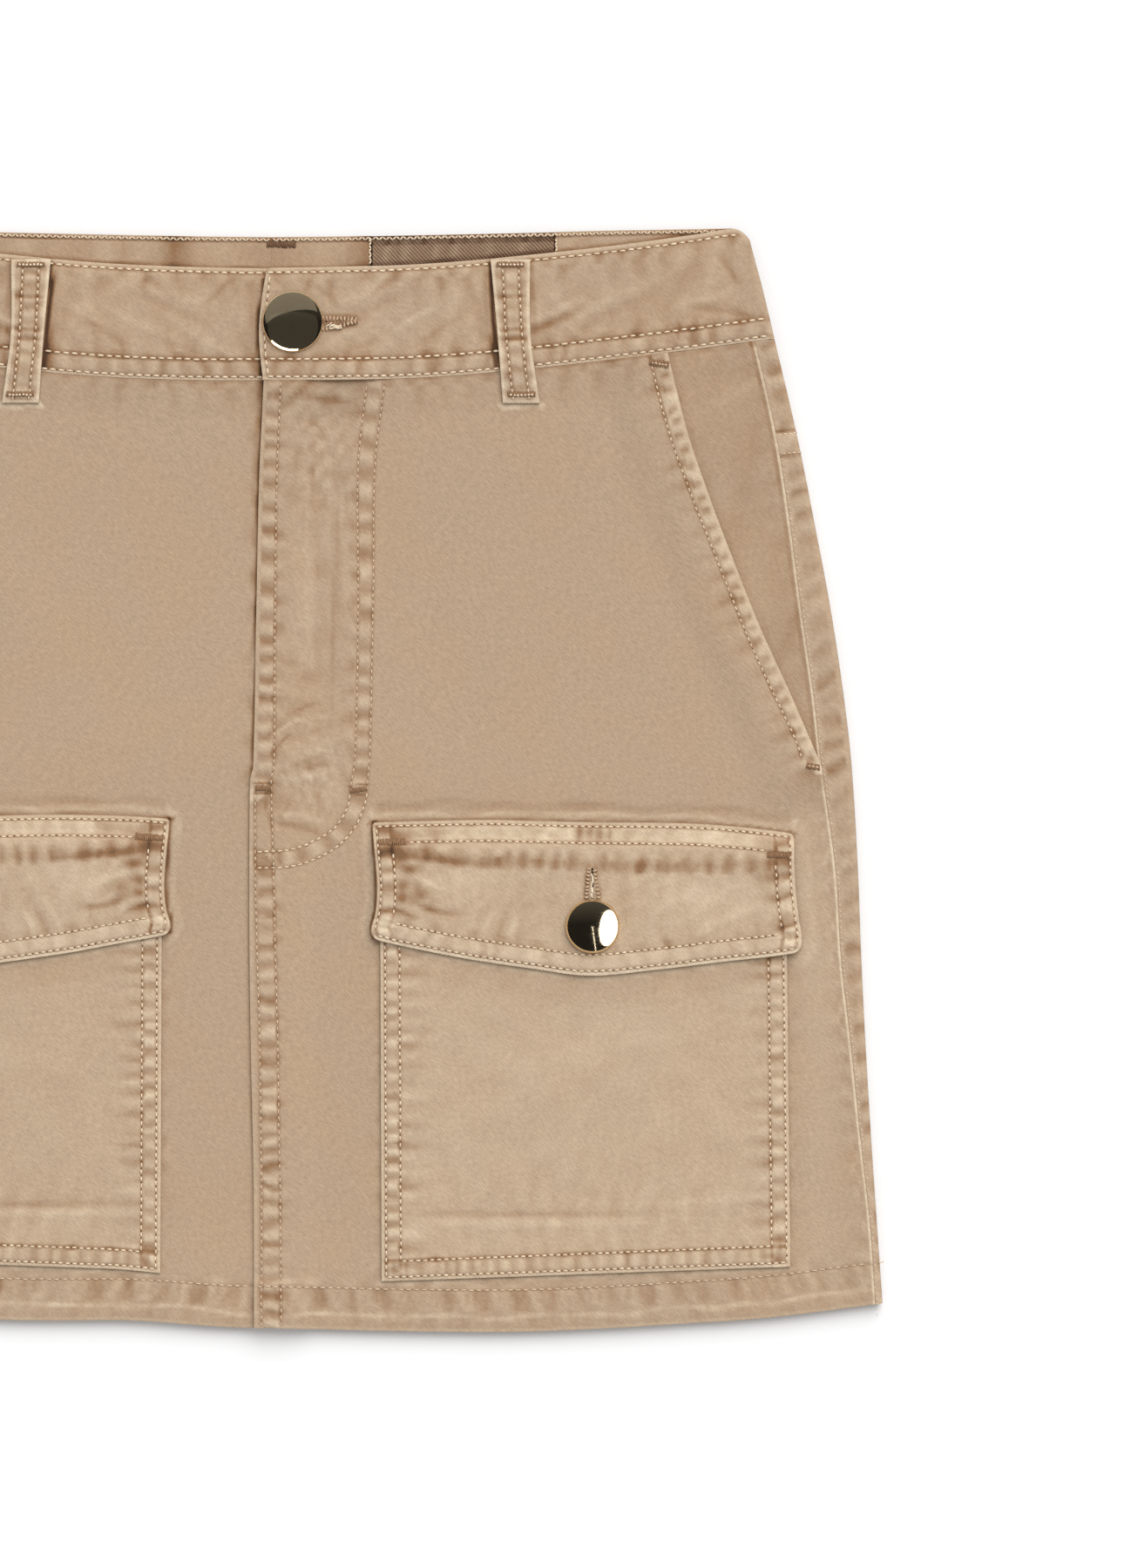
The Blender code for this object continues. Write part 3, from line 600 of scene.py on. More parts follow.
def makeTwill(name, look, ribPitch, ribDepth, turn):
    # washed twill: slanted ribs, slub, uneven dye, and pale crests and dark troughs from the cloth's
    # attributes, which hold worn and unfaded dye and painted light and shade
    material, tree, place = startMaterial(name, look["base"])
    inMm = inMillimetres(tree, place)
    slanted = addNode(tree, "Mapping", Vector=inMm, Rotation=(0, 0, math.radians(turn))).outputs["Vector"]
    fibre = addNode(tree, "Mapping", Vector=slanted, Scale=(1, 0.3, 0.3)).outputs["Vector"]
    ribs = addNode(
        tree, "TexWave", Vector=slanted, Scale=1 / ribPitch / 3.1416, Distortion=1.6, Detail=2,
        **{"Detail Scale": 1.2}
    ).outputs["Fac"]
    grain, slub = noise(tree, fibre, 1.6, 3, 0.65), noise(tree, inMm, 0.55, 3, 0.6)
    cloud, drift = noise(tree, inMm, 0.035, 3, 0.55), noise(tree, inMm, 0.13, 2, 0.5)
    colour = mixColours(
        tree, inRange(tree, cloud, 0.38, 0.62), toLinear(look["grey"]), toLinear(look["warm"]))
    colour = mixColours(tree, 0.7, colour, toLinear(look["base"]))
    wear, depth = attribute(tree, "wear"), attribute(tree, "depth")
    patchy = inRange(tree, drift, 0.3, 0.7, 0.75, 1.25)
    # the paleness mixes in worn dye and painted light, the darkness unfaded dye and painted shade, and
    # darkness past 1 the deep tone of painted shadow lines
    for amount, tone in ((wear, "pale"), (depth, "dark"), (inRange(tree, depth, 1, 2), "deep")):
        share = product(tree, amount, patchy, use_clamp=True)
        colour = mixColours(tree, share, colour, toLinear(look[tone]))
    light = product(
        tree, inRange(tree, grain, 0.25, 0.75, 0.83, 1.15), inRange(tree, slub, 0.25, 0.75, 0.95, 1.05))
    light = product(tree, light, inRange(tree, ribs, 0, 1, 1 - ribDepth, 1 + ribDepth))
    grey = addNode(tree, "CombineColor", Red=light, Green=light, Blue=light).outputs["Color"]
    weave = product(tree, ribs, 0.5, operation="MULTIPLY_ADD")
    feed(tree, weave.node.inputs[2], grain)
    finishMaterial(tree, weave, 0.45, 0.00022, {
        "Base Color": mixColours(tree, 1, colour, grey, "MULTIPLY"), "Roughness": look["roughness"],
        "Specular IOR Level": 0.25, "Sheen Weight": look["sheen"], "Sheen Roughness": 0.5})
    return material


def makeThread(name, light, dark, roughness=0.6):
    # a twisted thread with painted shade where it dips into the cloth
    material, tree, place = startMaterial(name, light)
    fray = noise(tree, inMillimetres(tree, place), 1.1, 2, 0.6)
    colour = mixColours(tree, inRange(tree, fray, 0.35, 0.65, 0, 0.35), toLinear(light), toLinear(dark))
    colour = mixColours(tree, attribute(tree, "dip"), colour, toLinear(dark))
    finishMaterial(
        tree, fray, 0.4, 0.0001,
        {"Base Color": colour, "Roughness": roughness, "Specular IOR Level": 0.3})
    return material


def makeMetal(name, tint):
    material, tree, place = startMaterial(name, tint)
    smear = noise(tree, place, 260, 4, 0.6)
    rough = inRange(tree, smear, 0.3, 0.75, 0.05, 0.13)
    colour = mixColours(
        tree, inRange(tree, smear, 0.4, 0.8, 0, 0.25), toLinear(tint), toLinear((196, 172, 118)))
    finishMaterial(
        tree, noise(tree, place, 150, 2), 0.05, 0.0002,
        {"Base Color": colour, "Roughness": rough, "Metallic": 1})
    return material


twill = makeTwill("washedTwill", twillLook, ribPitch=0.75, ribDepth=0.035, turn=-52)
insetTwill = makeTwill("insetTwill", insetLook, ribPitch=1.05, ribDepth=0.42, turn=-44)
seamThread = makeThread("seamThread", (230, 212, 184), (146, 111, 81))
flyThread = makeThread("flyThread", (212, 190, 163), (140, 106, 78))
darkThread = makeThread("tackThread", (150, 116, 86), (100, 72, 50))
purlThread = makeThread("purlThread", (206, 178, 148), (92, 64, 46))
barThread = makeThread("barThread", (122, 92, 68), (70, 48, 34))
chainThread = makeThread("chainThread", (226, 206, 178), (104, 76, 55))
paleThread = makeThread("edgeThread", (232, 216, 190), (178, 150, 122))
needleShade = makeThread("needleShade", (122, 88, 62), (112, 80, 56), roughness=1)
buttonMetal = makeMetal("paleGold", (244, 222, 184))
print("finishes made")


# Seam paths in millimetres, on the right half; the left half uses the same ones mirrored
def upPath(edge, startY, endY, inset=0, step=5):
    # inset is a number or a function of y, towards the centre front being negative
    y = np.linspace(startY, endY, max(2, int(abs(endY - startY) / step) + 1))
    shift = inset(y) if callable(inset) else inset
    return np.stack([edge(y) + shift, y], 1)


def acrossPath(edge, startX, endX, inset=0, step=5):
    # edge is a function of x or the name of a level
    x = np.linspace(startX, endX, max(2, int(abs(endX - startX) / step) + 1))
    shift = inset(x) if callable(inset) else inset
    return np.stack([x, (level(edge, x) if isinstance(edge, str) else edge(x)) + shift], 1)


def line(*points):
    return np.array(points, float)


def smoothPath(points, step=2):
    # a smooth path through a few points
    points = np.array(points, float)
    travelled = travelledAlong(points)
    at = np.linspace(0, travelled[-1], max(2, int(travelled[-1] / step) + 1))
    return np.stack([smoothCurve(travelled, points[:, 0])(at), smoothCurve(travelled, points[:, 1])(at)], 1)


fly = {
    "rowMarks": [2.4, 8.2, 37.2, 42.6],
    "edgeRow": smoothCurve(
        [-200, -128, -97, -33, 5, 66, 115, 146], [9.9, 9.6, 9.9, 8.8, 7.6, 6.8, 6.4, 6.3]),
    "seamRow": smoothCurve([-200, -128, -97, -33, -4], [2.6, 3, 3.3, 2.2, 1.9]),
    "turnIn": [
        (34.9, 144), (31.7, 114.8), (31.7, 66.2), (30.6, 9.7), (28.9, -3), (27.9, -9.7), (24.1, -16.3),
        (19.4, -20.2), (14, -23), (7, -25.4), (-5.4, -26.2)],
    "turnOut": [
        (41.3, 144), (37.8, 114.8), (37.1, 66.2), (36, 9.7), (34.9, -3), (34.6, -7.1), (31.7, -15.1),
        (28.3, -20.2), (22.5, -25.4), (16.2, -28.7), (8.3, -31.3), (-5.4, -32.2)],
    "edgeBlotches": [
        2.5, 8.8, 15.8, 22.5, 29.6, 36.3, 44.3, 50.7, 59.2, 69.6, 81.4, 91.7, 98.7, 108.4, 115.1, 121.8,
        127, 133.3, 140],
    "turnBlotches": [
        141.8, 132.7, 122.7, 111.8, 98.7, 92.3, 82, 69, 60.5, 48.1, 38.7, 32.8, 23.1, 17, 9.3, 3.4]}
mouthRow = smoothCurve(
    [6, 13, 36, 59, 81, 103, 123, 143, 156], [-6.2, -5.4, -6.3, -6, -6, -6.4, -6.8, -7, -7])
hemRowInset = 15.2
flap = {
    "top": smoothCurve(
        [36.7, 47.3, 60, 80, 94, 114, 143.5, 155, 171, 180, 190.2],
        [-15.4, -15, -14.7, -14.4, -14.7, -15.2, -15.5, -15.8, -17, -18, -19.4]),
    "foot": smoothCurve(
        [36.2, 47.3, 60, 72.7, 95, 116, 141, 165, 180, 187, 193.2],
        [-57.6, -60.3, -62.9, -65.3, -68.6, -71.2, -69, -66.1, -64.5, -63.6, -62.6]),
    "inside": smoothCurve(
        [0, 0.1, 0.2, 0.31, 0.41, 0.5, 0.71, 0.78, 1],
        [36.2, 36.5, 37.8, 38.4, 38.6, 38.5, 37.8, 37.5, 36.7]),
    "outside": smoothCurve(
        [0, 0.06, 0.15, 0.3, 0.51, 0.72, 0.93, 1], [193.2, 193.2, 193.2, 192.1, 191.1, 190.6, 190.5, 190.2]
    ),
    "corner": {"foot": 3.4, "top": 1.6},
    "footX": (36.2, 193.2), "topX": (36.7, 190.2), "width": 155, "height": 50,
    "topRows": (1.7, 7.8), "insideRows": (1.6, 6.8), "outsideRows": (1.5, 6.8),
    "footRows": (1.6, 7.6)}


def flapPoint(s, t):
    # the corners are drawn in to arcs
    width, height = flap["width"], flap["height"]
    across, up = np.minimum(s, 1 - s) * width, np.minimum(t, 1 - t) * height
    radius = np.where(t < 0.5, flap["corner"]["foot"], flap["corner"]["top"])
    across, up = roundCorner(across, up, radius)
    s = np.where(s < 0.5, across, width - across) / width
    t = np.where(t < 0.5, up, height - up) / height
    x = mix(flap["inside"](t), flap["outside"](t), s)
    footX, topX = mix(*flap["footX"], s), mix(*flap["topX"], s)
    return x, mix(flap["foot"](footX), flap["top"](topX), t)


def flapSide(outside, inset, startT=0, endT=1):
    # a path along one side of the flap, from its foot up
    t = np.linspace(startT, endT, 12)
    x, y = flapPoint(np.full(12, 1 if outside else 0), t)
    return np.stack([x + (-inset if outside else inset), y], 1)


def byHeight(points):
    # the x of a path's upright part, from its y
    upright = np.array([point for point in points if point[1] > -4][::-1])
    return smoothCurve(upright[:, 1], upright[:, 0])


turnInX, turnOutX = byHeight(fly["turnIn"]), byHeight(fly["turnOut"])


def frontSurface(insideX, marks, rowOffsets):
    # columns keep to the rows of sewing, and rows to the hem
    g = garment
    half = g["seam"] / 2
    hemIn, hemOut = float(insideX(level("hem", 0))), float(sideSeam(level("hem", 222))) - half
    waistIn, waistOut = float(insideX(level("frontFoot", 0))), g["mouthTopX"]
    footY, waistY = float(level("hem", hemOut)), float(level("frontFoot", waistOut)) - g["seam"]
    hemInY, waistInY = float(level("hem", hemIn)), float(level("frontFoot", waistIn)) - g["seam"]

    def outX(y):
        return np.where(y >= g["mouthFoot"], mouthEdge(y), sideSeam(y) - half)

    def hemEdge(s):
        x = mix(hemIn, hemOut, s)
        return x, level("hem", x)

    def waistEdge(s):
        x = mix(waistIn, waistOut, s)
        return x, level("frontFoot", x) - g["seam"]

    def centre(t):
        y = mix(hemInY, waistInY, t)
        return insideX(y), y

    def outer(t):
        y = mix(footY, waistY, t)
        return outX(y), y

    flat = patchSurface(hemEdge, waistEdge, centre, outer)

    def point(s, t):
        x, y = flat(s, t)
        height = level("frontFoot", x) - level("hem", x)
        t = stretchBetween(
            t * g["frontLength"], [0, hemRowInset, g["frontLength"]], [0, hemRowInset, height]
        ) / height
        (nearX, nearY), farX = centre(t), outer(t)[0]
        places = [0 * nearX] + [offset(nearY) for offset in rowOffsets] + [
            farX - nearX - g["sideRow"], farX - nearX]
        return flat(stretchBetween(s * marks[-1], marks, places) / (farX - nearX), t)

    return point


def furrow(path, seed, sink=0.16, dusk=0.42, wide=0.35, soft=0.5):
    # the narrow groove that a row of sewing draws in the cloth, with painted shade in it
    return rope(path, seed, -wide, wide, soft, 5, 0, 0, 0, sink=sink, dusk=dusk, stray=0.5)


def every(length, pitch, seed, jitter=0.2):
    rng = np.random.default_rng(seed)
    marks = np.arange(pitch * 0.6, length - pitch * 0.3, pitch)
    return marks + rng.uniform(-jitter, jitter, len(marks)) * pitch


def frontRopes(seed, right):
    mouth = upPath(mouthEdge, 6, 156)
    hemRow = acrossPath("hem", -14, 219, hemRowInset)
    waist = acrossPath("frontFoot", -14, 146)
    outside = upPath(sideSeam, -196, 4, -0.2)
    ropes = [
        rope(
            hemRow, seed + 1, -7, -1.2, 1.8, 5.6, 0.3, 0.3, 0.6 if right else 0.95, dusk=0.04, slant=0.25,
            stray=1),
        rope(hemRow, seed + 26, -5, -0.6, 1, 2.3, 0.12, 0.15, 0.4, slant=0.3, stray=1),
        rope(hemRow, seed + 11, -10, -9.2, 0.9, 9, 0.12, 0.25, 0, pale=0.34, weave=0.8, stray=1),
        rope(hemRow, seed + 12, -15.4, -10.8, 1, 7, 0.1, 0.1, 0.14, dusk=0.02),
        rope(hemRow, seed + 13, 0.8, 2.2, 1.2, 6, 0.1, 0.3, 0.2),
        rope(
            mouth, seed + 2, 1.6, 4, 1.3, 3.4, 0.3, 0.3, 0.8, marks=every(160, 5.7, seed + 2), tail=7.5,
            stray=0.4),
        rope(mouth, seed + 14, 0.2, 5.4, 0.8, 9, 0, 0.1, 0, pale=0.3),
        # puckers under the waistband, with painted shade just below its foot
        rope(waist, seed + 3, -2.6, -1.2, 1.2, 4.2, 0.2, 0.2, 0.45, dusk=0.16, tail=8, tailSide=-1),
        rope(waist, seed + 29, -0.8, 0.5, 0.4, 6, 0, 0, 0.3, dusk=0.5),
        rope(outside, seed + 4, 0, 0.6, 0.4, 3, 0.03, 0.4, 0.1, sink=-0.22, pale=0.95, stray=0),
        rope(outside, seed + 15, 1.3, 2, 0.5, 4, 0.1, 0.4, 0.3, sink=0.05, dusk=0.1, tail=4),
        rope(hemRow, seed + 27, -13, -6.5, 2.4, 3.4, 0.12, 0.12, 0.2, slant=0.35, stray=1),
        # painted light just below the belt loop's foot, where its real shadow falls too dark
        rope(line((84, 136.9), (98.6, 136.9)), seed + 31, -1.4, 0.6, 0.4, 9, 0, 0, 0, pale=0.8),
        furrow(upPath(mouthEdge, 8, 156, mouthRow), seed + 16, 0.16, 0.55, 0.5),
        furrow(hemRow, seed + 17, 0.1, 0.2)]
    if not right:
        # painted shadow of the right front's fly edge on the left panel, wider near the top, with puckers
        # pulled from the edge
        beside = upPath(lambda y: -flyEdge(y), -200, 146)
        above = beside[beside[:, 1] > -4]
        ropes += [
            rope(above, seed + 23, -0.3, 1, 0.4, 16, 0, 0, 0.7, dusk=1.2, stray=0.3),
            rope(beside[beside[:, 1] < -2], seed + 28, 0, 1, 0.4, 16, 0, 0, 0.5, dusk=0.4, stray=0.3),
            rope(above, seed + 24, -1.6, 0.5, 1.6, 6, 0.12, 0.1, 0.45, dusk=0.1, tail=3, tailSide=-1),
            rope(beside[beside[:, 1] > 110], seed + 30, -1.6, 0.5, 2, 30, 0, 0, 0.2, dusk=0.3),
            rope(beside[beside[:, 1] > 66], seed + 25, -0.8, 0.5, 1.4, 30, 0, 0, 0.2, dusk=0.28)]
    if right:
        turnIn, turnOut = smoothPath(fly["turnIn"]), smoothPath(fly["turnOut"])
        upright = [144 - y for y in fly["turnBlotches"]]
        ropes += [
            rope(upPath(flyEdge, -2, 146), seed + 5, -6.2, -1.9, 0.9, 3.4, 0.36, 0.5, 0.85,
                 marks=[y + 2 for y in fly["edgeBlotches"]], tail=4, tailSide=-1, stray=0.4),
            rope(upPath(flyEdge, -200, -34), seed + 6, -8.8, -3.6, 0.9, 3.1, 0.42, 0.65, 1.1, tail=2.5,
                 tailSide=-1),
            rope(turnIn, seed + 7, 1, 4.8, 1, 5, 0.3, 0.5, 0.75, marks=upright + [151, 160, 168, 178, 186],
                 stray=0.4),
            rope(turnIn[turnIn[:, 1] > 0], seed + 18, -1.5, 0, 1.5, 4.5, 0.12, 0.2, 0.5, tail=3, tailSide=-1),
            furrow(upPath(flyEdge, -199.5, 145.5, fly["edgeRow"]), seed + 19),
            furrow(upPath(flyEdge, -199.5, -5, fly["seamRow"]), seed + 20),
            furrow(turnIn, seed + 21, 0.14, 0.5), furrow(turnOut, seed + 22, 0.14, 0.5),
        ]
    return ropes


def pocketShade(seed):
    # painted shade on the panel along the pocket's and the flap's edges and in a groove above the flap,
    # painted light where their real shadows fall too dark, and pulls along the pocket's edge
    inside = line((39.7, -55), (40.3, -182.7), (189.2, -177.3), (187.6, -55))
    above = acrossPath(flap["top"], 40, 188, 4.8)
    flapTop = acrossPath(flap["top"], 36, 191)
    flapInside, flapOutside = flapSide(False, 0), flapSide(True, 0)

    def shade(path, number, low, high, soft, depth, **more):
        return rope(path, seed + number, low, high, soft, 14, 0, 0, depth, stray=0.3, **more)

    return [
        shade(inside[:2], 4, -0.2, 0.6, 0.5, 0.1, dusk=0.1),
        shade(flapInside, 11, 1.2, 3.6, 1.2, 0, pale=0.26),
        shade(flapOutside, 12, -5.6, -0.7, 1, 0, pale=0.2),
        shade(inside[1:3], 5, -1.4, 0.4, 0.5, 0.1, pale=0.4),
        shade(inside[2:], 6, -0.3, 0.6, 0.5, 0.3, dusk=0.1),
        shade(flapTop, 7, -1, 0.3, 0.5, 0.3, dusk=0.75),
        shade(flapInside, 8, -0.9, 0.5, 0.5, 0.4, dusk=1.3),
        shade(flapOutside, 10, -0.5, 0.5, 0.5, 0.2, dusk=0.1),
        rope(inside, seed, -1.4, 0.3, 1.5, 4.5, 0.06, 0.1, 0.25, dusk=0.02, tail=3, tailSide=-1),
        rope(above, seed + 2, -0.8, 0.8, 1.4, 18, 0.1, 0, 0.2, sink=0.25, dusk=0.26, weave=1),
        rope(above, seed + 3, -3.2, -2.2, 1, 12, 0.1, 0.1, 0, sink=-0.15, pale=0.3, weave=1)]


flyCreases = creaseTable([
    (14.1, 74, 90, 52, 2.6, 0.16, 0.2), (21, 108, 90, 40, 2.6, 0.12, 0.16),
    (15.5, 104, 91, 50, 3, -0.12, 0, 0.35), (23, 62, 88, 80, 4, -0.14, 0, 0.4),
    (26.5, 84, 93, 46, 3, 0.12, 0.18), (10.2, 141, 42, 16, 4, -0.3, 0, 0.7),
    (13, 137, 35, 18, 3.4, 0.25, 0.35), (22, 138.5, 172, 22, 4.5, -0.25, 0, 0.6),
    (29, 133.7, 8, 9, 5, -0.15, 0, 0.5), (14.5, 130, 160, 12, 4, -0.15, 0, 0.4),
    (9.5, 117, 78, 12, 4, -0.2, 0, 0.4), (14.6, 18, 17, 32, 4.6, -0.2, 0, 0.24, 1.4),
    (15.6, 12.6, 17, 32, 4, 0.16, 0.14, 0, 1.4), (9.5, 5, 24, 20, 4.4, -0.2, 0, 0.4, -1.2),
    (12, 1, 10, 16, 4, 0.2, 0.3), (10, -17.5, 166, 20, 4.4, -0.22, 0, 0.5, 1),
    (12, -14, 166, 18, 3.4, 0.2, 0.35, 0, 1), (6, 4, 52, 10, 2.2, 0.18, 0.5),
    (17, 10.2, 14, 14, 2.2, 0.16, 0.45, 0, -0.6), (16, 5.2, 10, 12, 3.6, -0.24, 0, 0.6),
    (0.5, 17.5, 40, 9, 2.2, -0.2, 0, 0.6), (6.5, 20, 30, 12, 2, 0.18, 0.4),
    (4, 14, 48, 10, 2.2, -0.2, 0, 0.55), (14.5, 22.5, 6, 14, 2, 0.14, 0.3),
    (12, 26.5, 22, 12, 2.6, -0.16, 0, 0.45), (-1.8, -9, 80, 7, 2, -0.15, 0, 0.6),
    (-0.2, -15, 100, 7, 2, -0.15, 0, 0.6), (5, -12, 120, 8, 2, 0.15, 0.35),
    (17, -6, 90, 12, 3.4, -0.15, 0, 0.28), (-2.8, -1.4, 0, 8.4, 1.5, 0, 0, 1.5),
    (-2.8, -4.6, 0, 8.4, 1.5, 0, 0, 1.3), (31.8, -1.9, 7, 8.6, 1.4, 0, 0, 1.3),
    (31.8, -5.3, 7, 8.6, 1.4, 0, 0, 1.2),
])
flySpots = spotTable([
    (20.6, 137, 4, 3, 0, 0.3), (18.7, 100.6, 3, 3.4, 0, 0.22), (17.5, 75.7, 3, 3.4, 0, 0.3),
    (17, 52, 2.6, 8, 0, 0.16), (13.7, 37.5, 4, 3.4, 0, 0.32), (4.8, -9, 3, 3, 0, 0.4),
    (8, 104, 2.5, 4, 0, 0.3), (7, 43, 3, 2, 0, 0.3), (25, 111, 5, 3, 0, 0.3), (12, 60, 4, 26, 0.1),
    (10, 26, 6, 5, 0, 0.2), (22, -2, 6, 8, 0.15), (18, 122, 11, 26, 0, 0, 0.28, 5, 801),
    (18, 55, 11, 60, 0, 0, 0.13, 6, 802, 0.4), (14, 4, 13, 22, 0, 0, 0.22, 4, 803),
])
sideSpots = spotTable([(199.5, -70, 8, 110, 0.16)])


def makeFronts():
    g = garment
    for side, name in halves:
        right = side > 0
        insideX = flyEdge if right else (lambda y: -(flyEdge(y) + g["seamLap"]))
        rowMarks = fly["rowMarks"] if right else []
        offsets = [
            fly["seamRow"], fly["edgeRow"],
            lambda y: turnInX(y) - flyEdge(y), lambda y: turnOutX(y) - flyEdge(y)]
        total = g["frontWidth"] + (0 if right else g["seamLap"])
        marks = [0] + rowMarks + [total - g["sideRow"], total]
        columns = spaced(total, marks[1:-1])
        rows = spaced(g["frontLength"], [hemRowInset, (5, 7, 0.7)] + ([(164, 200, 0.9)] if right else []),
                      1.35)
        relief = makeRelief(
            frontRopes(10 if right else 40, right) + pocketShade(33 if right else 63),
            flyCreases if right else [],
            sideSpots + (flySpots if right else []))
        face = panelFace if right else leftPanelFace

        def rolled(s, t, x, y):
            away = y - level("hem", x)
            away = np.minimum(away, np.where(y > g["mouthFoot"] - 1, (mouthEdge(y) - x) * 0.93, 50))
            return np.minimum(away, x - flyEdge(y)) if right else away

        surface = frontSurface(insideX, marks, offsets if right else [])
        place = laidPlace(surface, face, panelPly, relief, side, rolled, rim=0.18)
        makeCloth("frontPanel_" + name, columns, rows, place, "front_" + name, underShare=0.12)


makeFronts()
print("fronts made")


def makeFacings():
    # the cloth seen inside a hip pocket's mouth: smooth and a little darker
    g = garment
    half, footY = g["seam"] / 2, g["mouthFoot"] - 2
    topIn = float(level("frontFoot", g["mouthTopX"] - g["facingLap"])) - g["seam"]
    topOut = float(level("frontFoot", 176)) - g["seam"]

    def hidden(t):
        y = mix(footY, topIn, t)
        return mouthEdge(y) - g["facingLap"], y

    def seam(t):
        y = mix(footY, topOut, t)
        return sideSeam(y) - half, y

    def foot(s):
        return mix(float(hidden(0)[0]), float(seam(0)[0]), s), footY + 0 * s

    def waist(s):
        x = mix(float(hidden(1)[0]), float(seam(1)[0]), s)
        return x, level("frontFoot", x) - g["seam"]

    for side, name in halves:
        outside = upPath(sideSeam, 4, 160, -0.2)
        # painted shade beside the mouth edge, where the front lies over the facing, and puckers with painted
        # shade under the waistband's foot
        ropes = [
            rope(upPath(mouthEdge, 4, 158), 71, -1.4, 0.5, 1.6, 6, 0, 0, 0, dusk=0.16),
            rope(outside, 72, 0, 0.6, 0.4, 3, 0.03, 0.4, 0, sink=-0.22, pale=0.95, stray=0),
            rope(outside, 73, 1.2, 2, 0.5, 5, 0.08, 0.1, 0.2, sink=0.05, dusk=0.4, tail=6),
            rope(
                acrossPath("frontFoot", 130, 178), 74, -1.5, 0.5, 1.2, 4, 0.12, 0.4, 0.2, dusk=0.35, tail=5,
                tailSide=-1)]
        creases = creaseTable([
            (172, 108, 76, 70, 12, -0.25, 0, 0.16), (178, 76, 70, 90, 12, 0.25, 0, -0.05),
            (186, 46, 66, 60, 9, -0.2, 0, 0.2), (168, 140, 30, 24, 6, 0.15, 0.1),
        ])
        cover = rope(line((150, -20), (150, 170)), 75, -90, 90, 1.2, 20, 0, 0, 0, dusk=0.2)
        relief = makeRelief(ropes + [cover], creases)
        place = laidPlace(
            patchSurface(foot, waist, hidden, seam), frontFace, lambda x, y: g["cloth"], relief, side)
        makeCloth(
            "hipFacing_" + name, spaced(40, [(36.5, 40, 0.4)], 1.3, 0.5), spaced(154, coarse=1.6, fine=0.8),
            place, "hip_facing_" + name, underShare=0.2)


def foldedPlace(
    lower, upper, backX, endX, backHeight, frontHeight, thickness, side, relief, rolled=None, within=None):
    # columns run from -1 at the centre back to 0 where the side fold starts, 1 where it ends, and 2
    def place(c, t):
        edge = np.full(len(t), garment["yokeSideX"])
        for _ in range(3):
            foldY = mix(lower(edge, True), upper(edge, True), t)
            edge = sideEdge(foldY)
        bottom, top = backHeight(edge, foldY), frontHeight(side * (edge - 2), foldY)
        radius = (top - bottom) / 2
        turnX = edge - radius
        onBack, onFront = c <= 0, c >= 1
        backAt = backX(np.clip(c + 1, 0, 1), turnX)
        backY = mix(lower(backAt, False), upper(backAt, False), t)
        end = edge
        for _ in range(4):
            end = endX(mix(lower(end, True), upper(end, True), t))
        frontAt = mix(turnX, end, np.clip(c - 1, 0, 1))
        frontY = mix(lower(frontAt, True), upper(frontAt, True), t)
        angle = math.pi * (np.clip(c, 0, 1) - 0.5)
        turnAt = turnX + radius * np.cos(angle)

        def turnY(at):
            return np.where(
                c > 0.5, mix(lower(at, True), upper(at, True), t),
                mix(lower(at, False), upper(at, False), t))

        x = np.where(onBack, backAt, np.where(onFront, frontAt, turnAt))
        y = np.where(onBack, backY, np.where(onFront, frontY, turnY(turnAt)))
        height, wear, depth = relief(x, y)
        height = height * ease((c - 0.5) * 3)
        wear, depth = wear * (c > 0.4), np.where(c > 0.4, depth, 0.1)
        if rolled is not None:
            away = np.where(c >= 1, rolled(x, y), 50)
            height = height + edgeRoll(away, turnedEdge["bandPress"])
            wear = wear + turnedEdge["bandRim"] * paleEdge(away)
            depth = depth * (1 - turnedEdge["unshaded"] * paleEdge(away))
        thick = thickness(x, y, c >= 1)
        middle = bottom + radius
        outerZ = np.where(
            onBack, backHeight(x, y),
            np.where(onFront, frontHeight(side * x, y) + height, middle + radius * np.sin(angle) + height))
        innerX = np.where(onBack | onFront, x, turnX + (radius - thick) * np.cos(angle))
        innerY = np.where(onBack | onFront, y, turnY(innerX))
        innerZ = np.where(
            onBack, backHeight(x, y) + thick,
            np.where(onFront, frontHeight(side * x, y) - thick, middle + (radius - thick) * np.sin(angle)))
        innerWear, innerDepth = 0 * wear, 0 * wear + 0.3
        if within is not None:
            rise, innerWear, innerDepth = within(x, y)
            innerZ = innerZ + np.where(onBack, rise, 0)
        return (
            np.stack([side * x, y, outerZ], 1), np.stack([side * innerX, innerY, innerZ], 1), wear, depth,
            innerWear, innerDepth)

    return place


def foldColumns(backShares, frontShares, turns=9):
    turn = np.linspace(0, 1, turns + 1)[1:-1]
    return np.concatenate([np.array(backShares) - 1, turn, np.array(frontShares) + 1])


